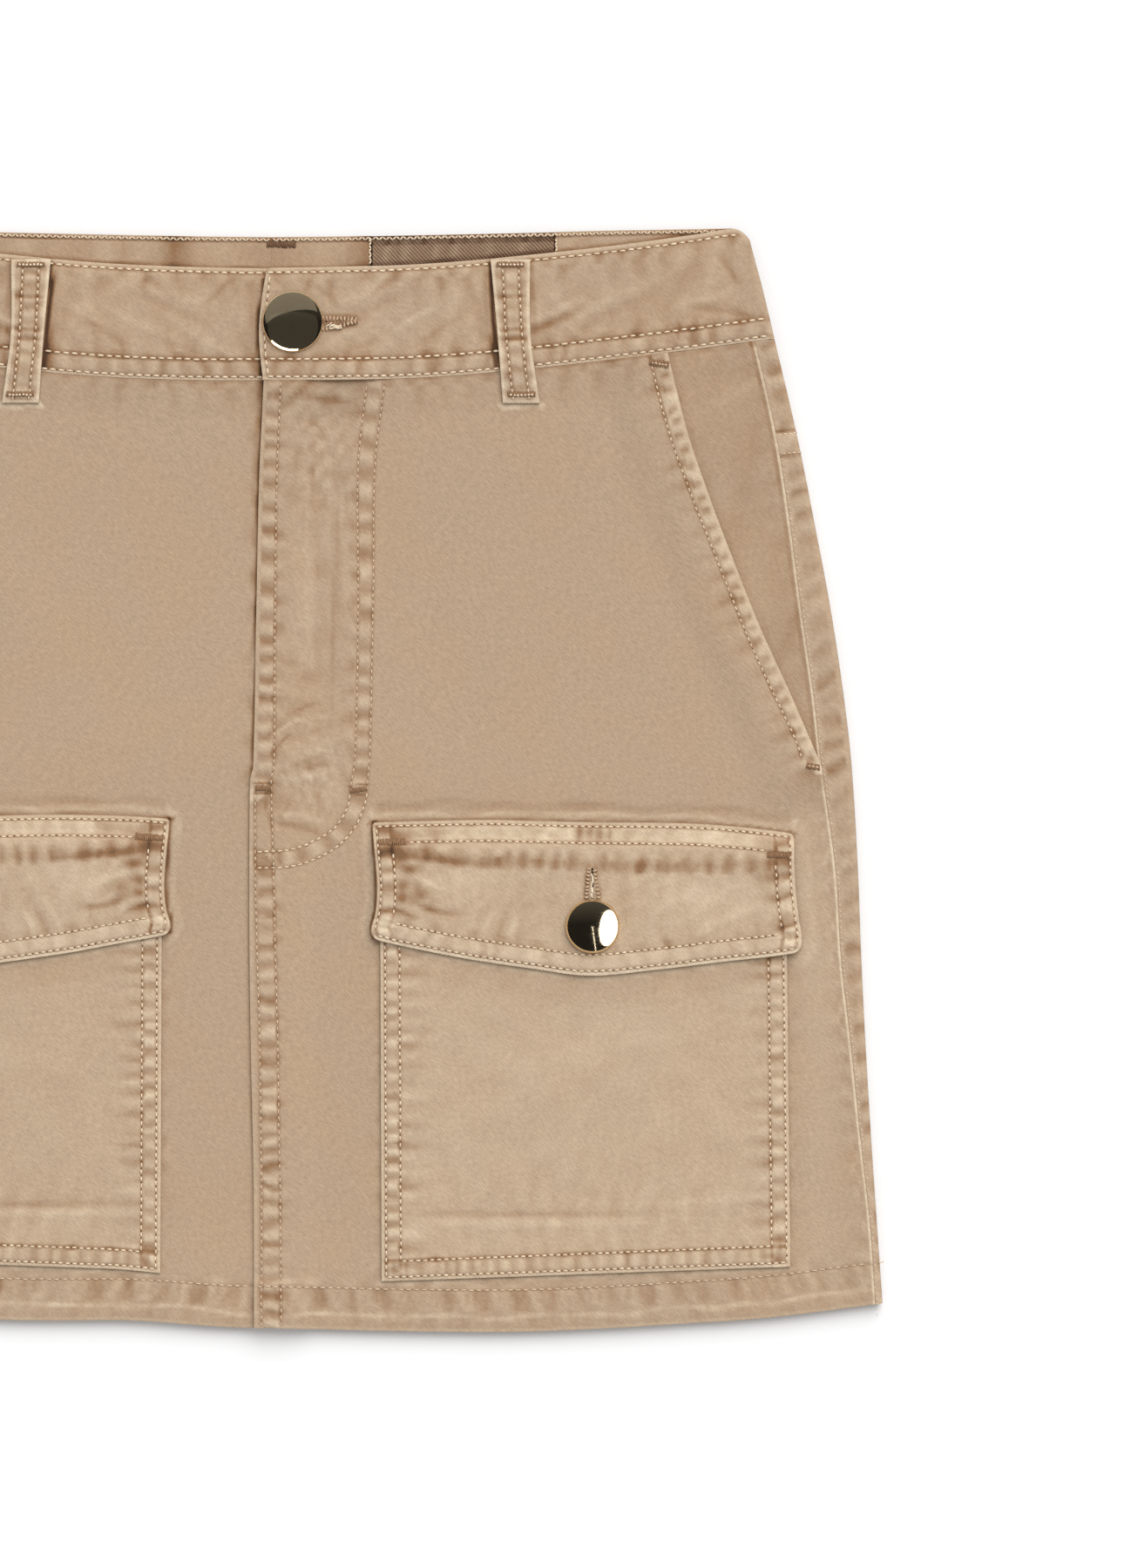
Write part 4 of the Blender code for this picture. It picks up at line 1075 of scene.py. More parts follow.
def sideRopes(seed):
    # the strip of the back that shows beside the side seam
    beside = upPath(sideSeam, -196, 166, 0.2)
    yoke = line((176, 126.2), (200, 128.4))
    return [
        rope(beside, seed + 1, -8, -2, 1.4, 4.6, 0.28, 0.22, 0.78, slant=0.3, stray=0.8),
        rope(beside, seed + 3, -0.4, 0.4, 0.4, 4, 0, 0, 0, dusk=0, stray=0),
        rope(beside, seed + 6, -1.9, -0.5, 0.5, 5, 0, 0.1, 0.15, pale=0.12),
        rope(upPath(sideEdge, -196, 160), seed + 7, -2, 2.4, 2, 5, 0, 0.1, 0.2, pale=0.02),
        # the yoke seam's two grooves, with painted shade in them
        rope(yoke, seed + 4, -0.3, 0.3, 0.7, 5, 0, 0, 0, sink=0.3, dusk=0.7, stray=0),
        rope(yoke, seed + 5, -7.4, -1.4, 0.8, 8, 0.1, 0.1, 0.1, sink=-0.15, pale=0.26),
        rope(
            line((176, 117), (200, 119.2)), seed + 8, -0.4, 0.3, 0.5, 5, 0, 0, 0, sink=0.16, dusk=0.7,
            stray=0),
        rope(
            acrossPath("hem", 170, 224, hemRowInset), seed + 2, -15, -0.6, 1.2, 4.4, 0.25, 0.35, 0.45,
            slant=0.5, tail=3)]


def makeBacks():
    g = garment
    half = g["seam"] / 2
    for side, name in halves:
        relief = makeRelief(sideRopes(80 if side > 0 else 90))
        shared = dict(
            backX=lambda share, turnX: mix(half, turnX, share), endX=lambda y: sideSeam(y) + half,
            backHeight=backFace, frontHeight=frontFace, side=side, relief=relief)
        place = foldedPlace(
            lower=lambda x, onFront: level("hem", x),
            upper=lambda x, onFront: yokeLine(x) - half,
            thickness=lambda x, y, onFront: panelPly(x, y), **shared)
        columns = foldColumns(np.linspace(0, 1, 24), spaced(9, coarse=1, fine=0.5))
        makeCloth(
            "backPanel_" + name, columns, spaced(305, [hemRowInset], 1.6), place, "back_" + name,
            underShare=0.3)
        place = foldedPlace(
            lower=lambda x, onFront: yokeLine(x) + half,
            upper=lambda x, onFront: bandFoot(x, np.all(onFront)) - g["seam"],
            thickness=lambda x, y, onFront: g["cloth"], **shared)
        makeCloth("backYoke_" + name, columns, spaced(40, [(20, 24, 0.5)], 1.4, 0.5), place, "yoke_" + name)


def bandTop(x, onFront):
    g = garment
    corner = np.clip((x - g["cornerX"]) / (g["cornerEndX"] - g["cornerX"]), 0, 1)
    return level("frontTop" if onFront else "backTop", x) - g["cornerDrop"] * corner**2


def bandFoot(x, onFront):
    return level("frontFoot" if onFront else "backFoot", x)


def bandTopRow(x):
    return -1.8 - 0.6 * ease((x - 60) / 80)


loopMiddle = smoothPath([(91.2, 137.3), (88.6, 161.9), (87.2, 189.6)])
inset = {"fromX": 37, "toX": 103, "cloth": 1, "margin": 0.4, "lip": 0.4, "edge": 1.5}


def bandRopes(seed, ripple):
    foot = acrossPath("frontFoot", -24, 182)
    byLoop = loopMiddle - line((6.9, 0))
    return [
        rope(foot, seed + 1, 2.2, 6.6, 1, 4, 0.24, 0.4, 0.75, slant=-0.25,
             tail=ripple, stray=1),
        rope(foot, seed + 3, 7.6, 9.6, 1.2, 6, 0.1, 0.1, 0.55, dusk=0.1),
        rope(acrossPath("frontTop", -24, 176), seed + 2, -5, -2.6, 1, 4.6, 0.18, 0.3, 0.7, tail=7,
             tailSide=-1, stray=1),
        furrow(acrossPath("frontFoot", -24, 182, 1.2), seed + 5, 0.18, 0.4, 0.4),
        furrow(acrossPath("frontFoot", -24, 182, 7.6), seed + 6, 0.18, 0.62, 0.6, 0.8),
        furrow(acrossPath("frontTop", -24, 176, bandTopRow), seed + 7, 0.18, 0.6, 0.5, 0.6),
        # the belt loop's shadow, deep on its left
        rope(byLoop, seed + 8, -0.2, 1, 0.5, 12, 0, 0, 0.3, dusk=2, stray=0.2),
        rope(byLoop, seed + 9, -0.2, 2.6, 1.8, 8, 0.1, 0, 0.2, dusk=0.4),
        rope(loopMiddle + line((6.7, 0)), seed + 10, -1.4, 0.2, 1, 6, 0, 0, 0.3, dusk=0.4),
    ]


bandCreases = creaseTable([
    (102, 170, 24, 26, 5, 0.35, 0.35), (102, 166.4, 24, 24, 5, -0.35, 0, 0.75),
    (124, 174.5, 25, 40, 6, 0.28, 0.2), (126, 170.5, 26, 36, 6, -0.2, 0, 0.2),
    (34, 176, 14, 34, 6, 0.25, 0.15), (36, 171, 24, 30, 5, -0.25, 0, 0.2), (24, 160, 28, 26, 4, 0.25, 0.2),
    (28, 156, 22, 24, 4, -0.22, 0, 0.25), (76, 166, 100, 22, 5, -0.25, 0, 0.22),
    (66, 172, 70, 24, 6, 0.2, 0.15), (148, 178, 60, 26, 7, -0.2, 0, 0.2), (160, 184, 75, 26, 6, 0.2, 0.15),
    (167, 186, -57, 15, 4, -0.25, 0, 0.5), (164, 171, -8, 22, 4, -0.25, 0, 0.45),
    (158, 175, 14, 26, 5, 0.25, 0.3), (148, 162, 82, 13, 2.6, -0.25, 0, 0.6),
    (152, 162, 78, 12, 2.6, 0.2, 0.3), (15, 183, 65, 16, 4, -0.22, 0, 0.5),
    (20, 177, -42, 16, 4, -0.2, 0, 0.35), (42, 181, 40, 18, 4, -0.2, 0, 0.4),
    (52, 168, 30, 22, 4, 0.22, 0.3), (60, 163, 34, 20, 4, -0.2, 0, 0.35),
])
buttonholeGround = creaseTable([(25, 168.2, -1, 17, 3.4, 0, 0, 1.25), (25, 165, 8, 17, 3.4, 0, 0, 1.25)])


def makeWaistband():
    g = garment
    tops = {}
    for side, name in halves:
        right = side > 0
        ropes = bandRopes(110 if right else 130, 6 if right else 10)
        if not right:
            # painted shadow of the right band's end on the left band
            beside = upPath(lambda y: -bandEnd(y), 146, 187)
            ropes += [
                rope(beside, 139, -0.6, 1.5, 0.5, 12, 0, 0, 0.4, dusk=1.6, stray=0.3),
                rope(beside, 140, -3, 1.5, 2.6, 9, 0, 0, 0.2, dusk=0.3)]
        washed = spotTable([
            (148, 176, 30, 18, 0, 0.08), (90, 178, 90, 14, 0, 0, 0.1, 13, 145 + side),
            (90, 165, 90, 12, 0, 0, 0.1, 8, 147 + side),
        ])
        relief = makeRelief(ropes, bandCreases + (buttonholeGround if right else []), washed)
        backEdge = acrossPath("backTop", -6, 178)
        # inside the back band: dark ripples along the chain row, a painted shadow just above the front band's
        # top edge and painted shade in the groove at the inset's end
        inside = makeRelief(
            [
                rope(backEdge, 150, -2, -0.5, 0.5, 2.6, 0.08, 0, 0.5, dusk=0.7),
                rope(backEdge, 151, -20, -3.2, 1.2, 7, 0.12, 0.35, 0.35, slant=0.2, stray=1),
                rope(acrossPath("frontTop", -6, 178), 152, -3, 0.5, 0.9, 9, 0, 0, 0.3, dusk=1.1),
                rope(line((36.2, 186), (36.2, 200)), 153, -0.4, 0.3, 0.4, 5, 0, 0, 0.2, dusk=1.2)],
            [],
            spotTable([(3.5, 193, 6, 5, 0, 0.35), (155, 196, 9, 3, 0, 0.4)]))
        recess = inset["cloth"] + inset["margin"]
        lowX, highX = inset["fromX"] - inset["margin"], inset["toX"] + inset["margin"]

        def thickness(x, y, onFront):
            sunk = right & ~onFront & (x > lowX - 0.05) & (x < highX + 0.05)
            return np.where(sunk, g["band"] - recess, g["band"])

        def rolled(x, y):
            away = np.minimum(bandTop(x, True) - y, y - bandFoot(x, True))
            return np.minimum(away, x - bandEnd(y)) if right else away

        def within(x, y):
            rise, wear, depth = inside(x, y)
            away = bandTop(x, False) - y
            # round the inset the band's inside is painted dark, shade in the recess the inset lies in
            overInset = right & (x > lowX - 0.3) & (x < highX + 0.3)
            wear = np.where(overInset, 0, wear + 0.3 * np.exp(-((away / 0.6) ** 2)))
            return rise + edgeRoll(away), wear, depth + np.where(overInset, 1, 0.06)

        marks = [0.02, 9, 18, 27]
        if right:
            marks += [lowX - inset["lip"], lowX, 53, 70, 87, highX, highX + inset["lip"]]
        evenly = [m for m in np.arange(36, 168, 6) if not (right and lowX - 3 < m < highX + 3)]
        marks = np.array(marks + evenly + [168, 170, 500])
        columns = np.concatenate([np.sort(marks) / 1000 - 1, np.linspace(0, 1, 9)[1:-1],
                                  1 + spaced(178, [174] if right else (), 1.25)])
        place = foldedPlace(
            bandFoot, bandTop,
            backX=lambda share, turnX: np.minimum(share * 1000, turnX),
            endX=bandEnd if right else (lambda y: 0 * y - g["underlapX"]),
            backHeight=lambda x, y: g["backBandZ"] + 0 * x,
            frontHeight=bandFace if right else leftBandFace,
            thickness=thickness, side=side, relief=relief, rolled=rolled, within=within)
        makeCloth(
            "waistband_" + name + "_cloth", columns, spaced(40.8, [1.2, 7.6, 38.8], 1.25), place,
            "waistband_" + name)
        tops[name] = lambda x, y, inside=inside: g["backBandZ"] + g["band"] + inside(np.abs(x), y)[0]
    return tops


def makeInset():
    g = garment
    low = g["backBandZ"] + g["band"] - inset["cloth"] - inset["margin"] + g["gap"]

    def point(s, t):
        x = mix(inset["fromX"], inset["toX"], s)
        return x, mix(level("backFoot", x) + inset["edge"], level("backTop", x) - inset["edge"], t)

    # dark ripples under the top edge's zigzag, and a painted shadow just above the front band's top edge
    ropes = [
        rope(acrossPath("backTop", 36, 104, -1.5), 160, -1.6, 0.3, 0.8, 2.6, 0.1, 0.2, 0.7, dusk=0.8),
        rope(acrossPath("frontTop", 30, 110), 161, -3, 0.8, 1.6, 9, 0, 0, 0.3, dusk=1)]
    relief = makeRelief(
        ropes,
        creaseTable([(x, 192, 78, 12, 5, 0.12, 0.3) for x in (42, 49, 60, 67, 79, 91)]))
    place = laidPlace(
        point, lambda x, y: low + inset["cloth"] + 0 * x, lambda x, y: inset["cloth"], relief, 1)
    makeCloth(
        "bandInset", spaced(66, coarse=0.9), spaced(38, coarse=0.8), place, "band_facing_inset",
        material=insetTwill)


loopCut = {
    "middle": smoothCurve([0, 0.47, 1], [91.2, 88.6, 87.2]),
    "width": smoothCurve([0, 0.47, 1], [13.4, 12, 14.4]), "foot": 137.3, "top": 189.6, "backX": 156,
    "backFoot": 150, "belowEdge": 1.5, "backWidth": 14}


def loopFace(side):
    under = panelFace if side > 0 else leftPanelFace
    band = bandFace if side > 0 else leftBandFace

    def face(x, y):
        ontoBand = ease((y - level("frontFoot", x) + 4.5) / 4)
        return mix(under(x, y), band(x, y), ontoBand) + garment["gap"] + garment["loop"]

    return face


def makeLoops():
    g = garment
    for side, name in halves:
        def point(s, t):
            y = mix(loopCut["foot"], loopCut["top"], t)
            return loopCut["middle"](t) + (s - 0.5) * loopCut["width"](t), y

        ropes = [
            rope(loopMiddle, 170 + side, -1.8, 1.8, 1.2, 2.8, 0.22, 0.5, 0.7),
            rope(loopMiddle, 174 + side, 3.6, 7, 1.2, 3.2, 0.2, 0.4, 0.8),
            rope(loopMiddle, 178 + side, -7, -3.6, 1.2, 3.2, 0.2, 0.4, 0.8)]
        creases = creaseTable([(88, y, 2, 14, 2.6, -0.4, 0, 0.8) for y in (176, 164, 160.6)])
        ropes += [furrow(loopMiddle + line((off, 0)), 182 + side, 0.2, 0.7, 0.5, 0.7) for off in (-2.9, 2.9)]
        relief = makeRelief(ropes, creases)

        def rolled(s, t, x, y):
            across = np.minimum(s, 1 - s) * loopCut["width"](t)
            return np.minimum(across, np.minimum(t, 1 - t) * (loopCut["top"] - loopCut["foot"]))

        face = loopFace(side)
        place = laidPlace(point, face, lambda x, y: g["loop"], relief, side, rolled, 0.2, 0.12, 0.6)
        makeCloth(
            "frontLoop_" + name, spaced(14, [4.1, 9.9], 0.7), spaced(52, coarse=0.8), place,
            "belt_loop_front_" + name, underShare=0.2)
    for name, middle in (("left", -loopCut["backX"]), ("centre", 3.5), ("right", loopCut["backX"])):
        topY = float(level("backTop", middle)) - loopCut["belowEdge"]

        def point(s, t):
            return middle + (s - 0.5) * loopCut["backWidth"], mix(loopCut["backFoot"], topY, t)

        relief = makeRelief([rope(line((middle, 140), (middle, 205)), 190, -3, 3, 1.2, 3, 0, 0.3, 0.4)])
        place = laidPlace(point, lambda x, y: g["loop"] + 0 * x, lambda x, y: g["loop"], relief, 1)
        makeCloth(
            "backLoop_" + name, spaced(14, coarse=1.4), spaced(48, coarse=2), place,
            "belt_loop_back_" + name)


pocket = {
    "insideX": (39.7, 40.3), "outsideX": (187.6, 189.2), "topY": -28.4, "bottomY": (-182.7, -177.3),
    "rowInside": (1.7, 7), "rowOutside": (1.3, 6.8), "rowBottom": (1.5, 7.4),
    "width": 149, "height": 152}


def pocketPoint(s, t):
    bottomX, topX = (mix(pocket["insideX"][k], pocket["outsideX"][k], s) for k in (1, 0))
    return mix(bottomX, topX, t), mix(mix(pocket["bottomY"][0], pocket["bottomY"][1], s), pocket["topY"], t)


def pocketFace(x, y):
    p = pocket
    across = np.clip((np.abs(x) - p["insideX"][0]) / (p["outsideX"][0] - p["insideX"][0]), 0, 1)
    down = np.clip((p["topY"] - y) / (p["topY"] - p["bottomY"][0]), 0, 1)
    crown = np.maximum(0, np.sin(math.pi * across) * np.sin(math.pi * down))
    below = np.where(x > 0, panelFace(x, y), leftPanelFace(x, y))
    return below + garment["gap"] + garment["patch"] + garment["puff"] * crown


def pocketEdge(which, near, far):
    # a path inside one edge of the pocket, from one corner to the other
    p = pocket
    corners = {
        "inside": ([p["insideX"][0] + near, p["topY"]], [p["insideX"][1] + near, p["bottomY"][0] + far]),
        "outside": ([p["outsideX"][0] - near, p["topY"]], [p["outsideX"][1] - near, p["bottomY"][1] + far]),
        "bottom": (
            [p["insideX"][1] + far, p["bottomY"][0] + near],
            [p["outsideX"][1] - far, p["bottomY"][1] + near])}
    return np.array(corners[which])


pocketCreases = creaseTable([
    (92, -161.5, 0, 94, 5, 0.22, 0.26, 0, 0.6), (94, -158, 0, 96, 4, -0.2, 0, 0.34, 0.6),
    (160, -153.5, 4, 50, 5, 0.15, 0.15), (60, -140, 62, 50, 12, 0.25, 0.04),
    (160, -120, -55, 60, 14, 0.25, 0.04), (110, -100, 12, 80, 16, 0.2, 0.1),
    (52, -96, 40, 22, 5, -0.22, 0, 0.2),
])


def makePockets():
    for side, name in halves:
        seed = 200 if side > 0 else 230
        flapFoot = acrossPath(flap["foot"], 36, 193)
        inside, outside, bottom = (pocketEdge(which, 0, 0) for which in ("inside", "outside", "bottom"))
        ropes = [
            rope(inside, seed + 1, 2.6, 6, 0.9, 2.9, 0.36, 0.85, 0.85, tail=8.5, stray=0.4),
            rope(
                outside, seed + 3, -5.8, -2.2, 0.9, 2.9, 0.36, 0.6, 0.85, tail=7.5, tailSide=-1, stray=0.4),
            rope(bottom, seed + 4, 2.4, 6.2, 0.9, 2.6, 0.26, 0.5, 0.6, tail=3, stray=0.4),
            # painted shade along the bottom's inner row and on the pocket below the flap's foot; right under
            # that edge, painted light where the flap's real shadow falls too dark
            rope(bottom, seed + 6, 6.8, 8, 0.9, 7, 0.06, 0.1, 0.35, dusk=0.2, stray=0.4),
            rope(flapFoot, seed + 5, -8, 2, 6, 9, 0.05, 0, 0.1, dusk=0.16),
            rope(flapFoot, seed + 7, -1.6, 1, 0.5, 12, 0, 0, 0.1, pale=0.7)]
        ways = (
            (inside, (1, 0), "rowInside"), (outside, (-1, 0), "rowOutside"), (bottom, (0, 1), "rowBottom"))
        for edge, way, row in ways:
            for k, off in enumerate(pocket[row]):
                ropes.append(furrow(edge + off * line(way), seed + 8 + k, 0.16, 0.34 + 0.2 * k))
        washed = spotTable([
            (114, -110, 120, 120, 0, 0 if side > 0 else 0.09),
            (114, -160, 70, 16, 0, 0, 0.12, 9, seed + 20, 0.4),
            (114, -110, 80, 60, 0, 0, 0.03, 26, seed + 21),
        ])
        relief = makeRelief(ropes, pocketCreases, washed)

        def rolled(s, t, x, y):
            p = pocket
            across = np.minimum(s, 1 - s) * (p["outsideX"][0] - p["insideX"][0])
            return np.minimum(across, t * (p["topY"] - p["bottomY"][0]))

        width = pocket["width"]
        sewn = list(pocket["rowInside"]) + [width - off for off in pocket["rowOutside"]]
        columns = spaced(width, sewn, 1.35)
        rows = spaced(pocket["height"], list(pocket["rowBottom"]), 1.35, ends=(True, False))
        place = laidPlace(
            pocketPoint, pocketFace, lambda x, y: garment["patch"], relief, side, rolled, 0.45, 0.2, 0.28)
        makeCloth("cargoPocket_" + name, columns, rows, place, "cargo_pocket_" + name, underShare=0.12)


def flapFace(x, y):
    g = garment
    below = np.where(x > 0, panelFace(x, y), leftPanelFace(x, y))
    return mix(below, pocketFace(x, y), ease((g["climbY"] - y) / g["climb"])) + g["gap"] + g["flap"]


def makeFlaps():
    for side, name in halves:
        seed = 260 if side > 0 else 290
        topEdge, footEdge = acrossPath(flap["top"], 37, 190), acrossPath(flap["foot"], 36.5, 193)
        streak = smoothPath([(39.5, -27.6), (50, -27.8), (58, -28.3), (67, -29.6), (80, -30.4), (104, -30.9),
                             (125, -31.6),
                             (150, -32.3), (176, -31.8), (189, -31.4)])
        insideEdge, outsideEdge = flapSide(False, 0), flapSide(True, 0)
        ropes = [
            rope(topEdge, seed + 1, -7, -2.4, 0.7, 5, 0.08, 0.16, 0.2, pale=0.36),
            rope(streak, seed + 12, 0.4, 2.8, 2.6, 3.8, 0, 0.35, 0.2, dusk=0.32, stray=1),
            rope(streak, seed + 13, -1.2, 1.6, 1.5, 2.9, 0, 0.2, 0.42, dusk=0.26, stray=1, weave=0.4),
            rope(streak, seed + 2, -1.6, 4.2, 1.8, 5, 0.26, 0.36, 0.46, dusk=0, stray=0.5,
                 marks=[-4, 6, 18.5, 28, 40.5, 47, 53, 59, 64.5, 70, 82.5, 86.5, 95.5, 104.5, 112.5, 120,
                        127.5, 135, 143, 152]),
            rope(insideEdge, seed + 3, -6.2, -2.4, 1, 3.4, 0.34, 0.6, 0.8, tail=4, tailSide=-1, stray=0.6),
            rope(outsideEdge, seed + 4, 2.2, 6, 1, 3.4, 0.34, 0.8, 0.8, tail=4, stray=0.6),
            rope(footEdge, seed + 5, 2.4, 6.8, 0.7, 3.6, 0.14, 0.25, 0.42, pale=0.28, tail=8, stray=1),
            rope(footEdge, seed + 6, 8.2, 10, 1.2, 6, 0.08, 0.1, 0.4, dusk=0.12),
            # the foot's rim is paler, partly worn edge and partly painted light; the top and inside edges get
            # painted shadow lines
            rope(footEdge, seed + 14, -0.3, 0.8, 0.35, 9, 0, 0, 0, pale=0.45, stray=0.3),
            rope(topEdge, seed + 15, -0.25, 0.5, 0.35, 9, 0, 0, 0, dusk=1.8, stray=0.3),
            rope(insideEdge, seed + 16, -0.2, 0.8, 0.35, 9, 0, 0, 0, dusk=3.2, stray=0.3),
        ]
        ropes += [furrow(topEdge - line((0, off)), seed + 8, 0.16, 0.6) for off in flap["topRows"]]
        ropes += [furrow(footEdge + line((0, off)), seed + 9, 0.12, 0.24) for off in flap["footRows"]]
        ropes += [furrow(flapSide(False, off), seed + 10, 0.18, 0.5) for off in flap["insideRows"]]
        ropes += [furrow(flapSide(True, off), seed + 11, 0.18, 0.5) for off in flap["outsideRows"]]
        spots = spotTable([
            (112.4, -19.4, 1.5, 3.6, 0, 0.9), (116.2, -19, 1.2, 3.4, 0, 0.7),
            (119.6, -19.4, 1.4, 3.8, 0, 0.85), (123.4, -19.6, 1.2, 3.2, 0, 0.7),
            (130, -20.4, 2.4, 2.6, 0, 0.3), (42, -18, 4, 2.4, 0, 0.6), (48, -20.5, 7, 2.6, 0, 0.5),
            (59, -19, 4, 4, 0, 0.45), (183, -23, 6, 3, 0, 0.6), (44, -25.2, 7, 2, 0, 0.7),
            (185, -29.8, 6, 1.8, 0, 0.5), (115, -42, 64, 14, 0, 0, 0.13, 9, seed + 20),
            (52, -36, 14, 18, 0, 0, 0.25, 8, seed + 21), (115, -19, 70, 4, 0, 0, 0.2, 6, seed + 22),
            (50.7, -32.5, 3.4, 2, 0, 1.05), (48.2, -38, 2.4, 2, 0, 0.9), (47.7, -43.1, 2.2, 1.8, 0, 1),
            (54.5, -41.4, 3.6, 3, 0, 0.75), (42, -53, 3.6, 2.6, 0.8), (188.5, -57.5, 3.4, 2.8, 0.8),
            (179.7, -35.4, 4, 2.6, 0, 0.5), (181.6, -42.3, 3, 2, 0, 0.4), (92, -44, 18, 8, 0, 0.12),
            (130, -46, 5, 9, 0, 0.2), (156, -42, 20, 8, 0.2), (70, -38, 16, 5, 0.2),
        ])
        creases = creaseTable([
            (46.5, -48.6, -12, 15, 3.4, -0.4, 0, 0.9, -1.6), (60.5, -47.2, -14, 18, 4, -0.34, 0, 0.75, 1.4),
            (60, -29, -5.5, 44, 4.6, -0.2, 0, 0.5), (56, -37, -26, 14, 3.4, 0.25, 0.4),
            (188.3, -53.1, 16, 9, 3, -0.35, 0, 0.8), (187.4, -42.4, 28, 8, 3, -0.3, 0, 0.7),
            (187, -36.3, 34, 7, 2.6, -0.25, 0, 0.5), (168, -50, 24, 30, 6, 0.25, 0.2),
            (88, -54, 70, 12, 4, 0.25, 0.3), (79, -52, 62, 14, 4, 0.22, 0.2),
            (84, -53, 66, 12, 4, -0.22, 0, 0.3), (115.2, -37.6, 85, 15, 3.2, 0, 0, 1.1),
            (118.8, -37.8, 98, 15, 3.2, 0, 0, 1.1),
        ])
        relief = makeRelief(ropes, creases, spots)

        def rolled(s, t, x, y):
            height = flap["top"](x) - flap["foot"](x)
            across = np.minimum(s, 1 - s) * flap["width"]
            return np.minimum(across, np.minimum(t, 1 - t) * height)

        w, h = flap["width"], flap["height"]
        columns = spaced(w, list(flap["insideRows"]) + [w - off for off in flap["outsideRows"]], 1.15, 0.32)
        rows = spaced(h, list(flap["footRows"]) + [h - off for off in flap["topRows"]], 1.1, 0.32)
        place = laidPlace(
            flapPoint, flapFace, lambda x, y: garment["flap"], relief, side, rolled, 0.6, 0.22, 0.3)
        makeCloth("pocketFlap_" + name, columns, rows, place, "pocket_flap_" + name, underShare=0.12)


makeFacings()
makeBacks()
insideTops = makeWaistband()
makeInset()
makeLoops()
makePockets()
makeFlaps()
print("cloth made")


# Buttons and buttonholes
hole = {"length": 23.2, "width": 3, "end": 1.8, "point": 0.3, "sides": 24, "cutFrom": 5, "cutHeight": 20}
buttons = {
    "waist": {"centre": (8.1, 166.8), "radius": 11.1, "dome": 2.35, "hole": (1, 0), "node": "waist_button"},
    "flap": {"centre": (117.1, -53.2), "radius": 9.85, "dome": 3.3, "hole": (0, 1), "node": "flap_button_"},
    "rim": 1.1, "shank": 1.1, "sides": 96, "domeSteps": 26, "edge": 0.4}


def cutSlot(pieceName, button, side=1):
    # a rounded slot through the cloth, from just past the button's shank outwards
    piece = bpy.data.objects[pieceName]
    run = button["hole"]
    middle = [button["centre"][k] + run[k] * (hole["length"] / 2 - hole["end"]) for k in (0, 1)]
    bpy.ops.object.select_all(action="DESELECT")
    bpy.ops.mesh.primitive_cylinder_add(
        vertices=hole["sides"], radius=hole["width"] / 2, depth=hole["cutHeight"])
    cutter = bpy.context.object
    points = pointsOf(cutter.data)
    stretched = points[:, 0] + np.where(
        np.abs(points[:, 0]) > 0.01, np.sign(points[:, 0]), 0
    ) * (hole["length"] - hole["width"]) / 2
    across = points[:, 1] * mix(1, hole["point"], ease(stretched / hole["length"] * 2 + 1))
    placed = np.stack(
        [stretched * run[0] - across * run[1], stretched * run[1] + across * run[0], points[:, 2]],
        1)
    start = np.array([side * middle[0], middle[1], hole["cutFrom"] + hole["cutHeight"] / 2])
    cutter.data.vertices.foreach_set("co", (placed * millimetre + lay(start[None])[0]).ravel())
    selectOnly(piece)
    cut = piece.modifiers.new("buttonhole", "BOOLEAN")
    cut.operation, cut.object, cut.solver = "DIFFERENCE", cutter, "EXACT"
    bpy.ops.object.modifier_apply(modifier=cut.name)
    bpy.data.objects.remove(cutter)


def makeButton(name, node, button, seat, head, side=1):
    # pressed metal: a shank through the buttonhole and a domed face down to a thin turned edge
    radius, edge = button["radius"], buttons["edge"]
    profile = [
        (buttons["shank"], seat), (buttons["shank"], head), (radius - 2 * edge, head),
        (radius - 0.4 * edge, head + 0.2 * edge)]
    rise = buttons["rim"] + button["dome"] - edge
    for k in range(buttons["domeSteps"]):
        angle = math.pi / 2 * k / buttons["domeSteps"]
        profile.append((radius * math.cos(angle), head + edge + rise * math.sin(angle)))
    bpy.ops.object.select_all(action="DESELECT")
    bpy.ops.mesh.primitive_circle_add(
        vertices=buttons["sides"], radius=profile[0][0] * millimetre, fill_type="NGON",
        location=(0, 0, profile[0][1] * millimetre))
    piece = bpy.context.object
    piece.name = piece.data.name = name
    bpy.ops.object.mode_set(mode="EDIT")
    for (wasR, wasZ), (r, z) in zip(profile, profile[1:]):
        bpy.ops.mesh.extrude_region_move(TRANSFORM_OT_translate={"value": (0, 0, (z - wasZ) * millimetre)})
        bpy.ops.transform.resize(value=(r / wasR, r / wasR, 1), center_override=(0, 0, 0))
    bpy.ops.transform.translate(value=(0, 0, (head + edge + rise - profile[-1][1]) * millimetre))
    bpy.ops.mesh.merge(type="CENTER")
    faceOutwards()
    x, y = button["centre"]
    spot = lay(line((side * x, y, 0)))[0]
    piece.location = (piece.location[0] + spot[0], piece.location[1] + spot[1], piece.location[2])
    bpy.ops.object.transform_apply(location=True, rotation=True, scale=True)
    bpy.ops.object.shade_smooth_by_angle(angle=math.radians(55))
    piece.data.materials.append(buttonMetal)
    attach(piece, "root")
    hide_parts(node)


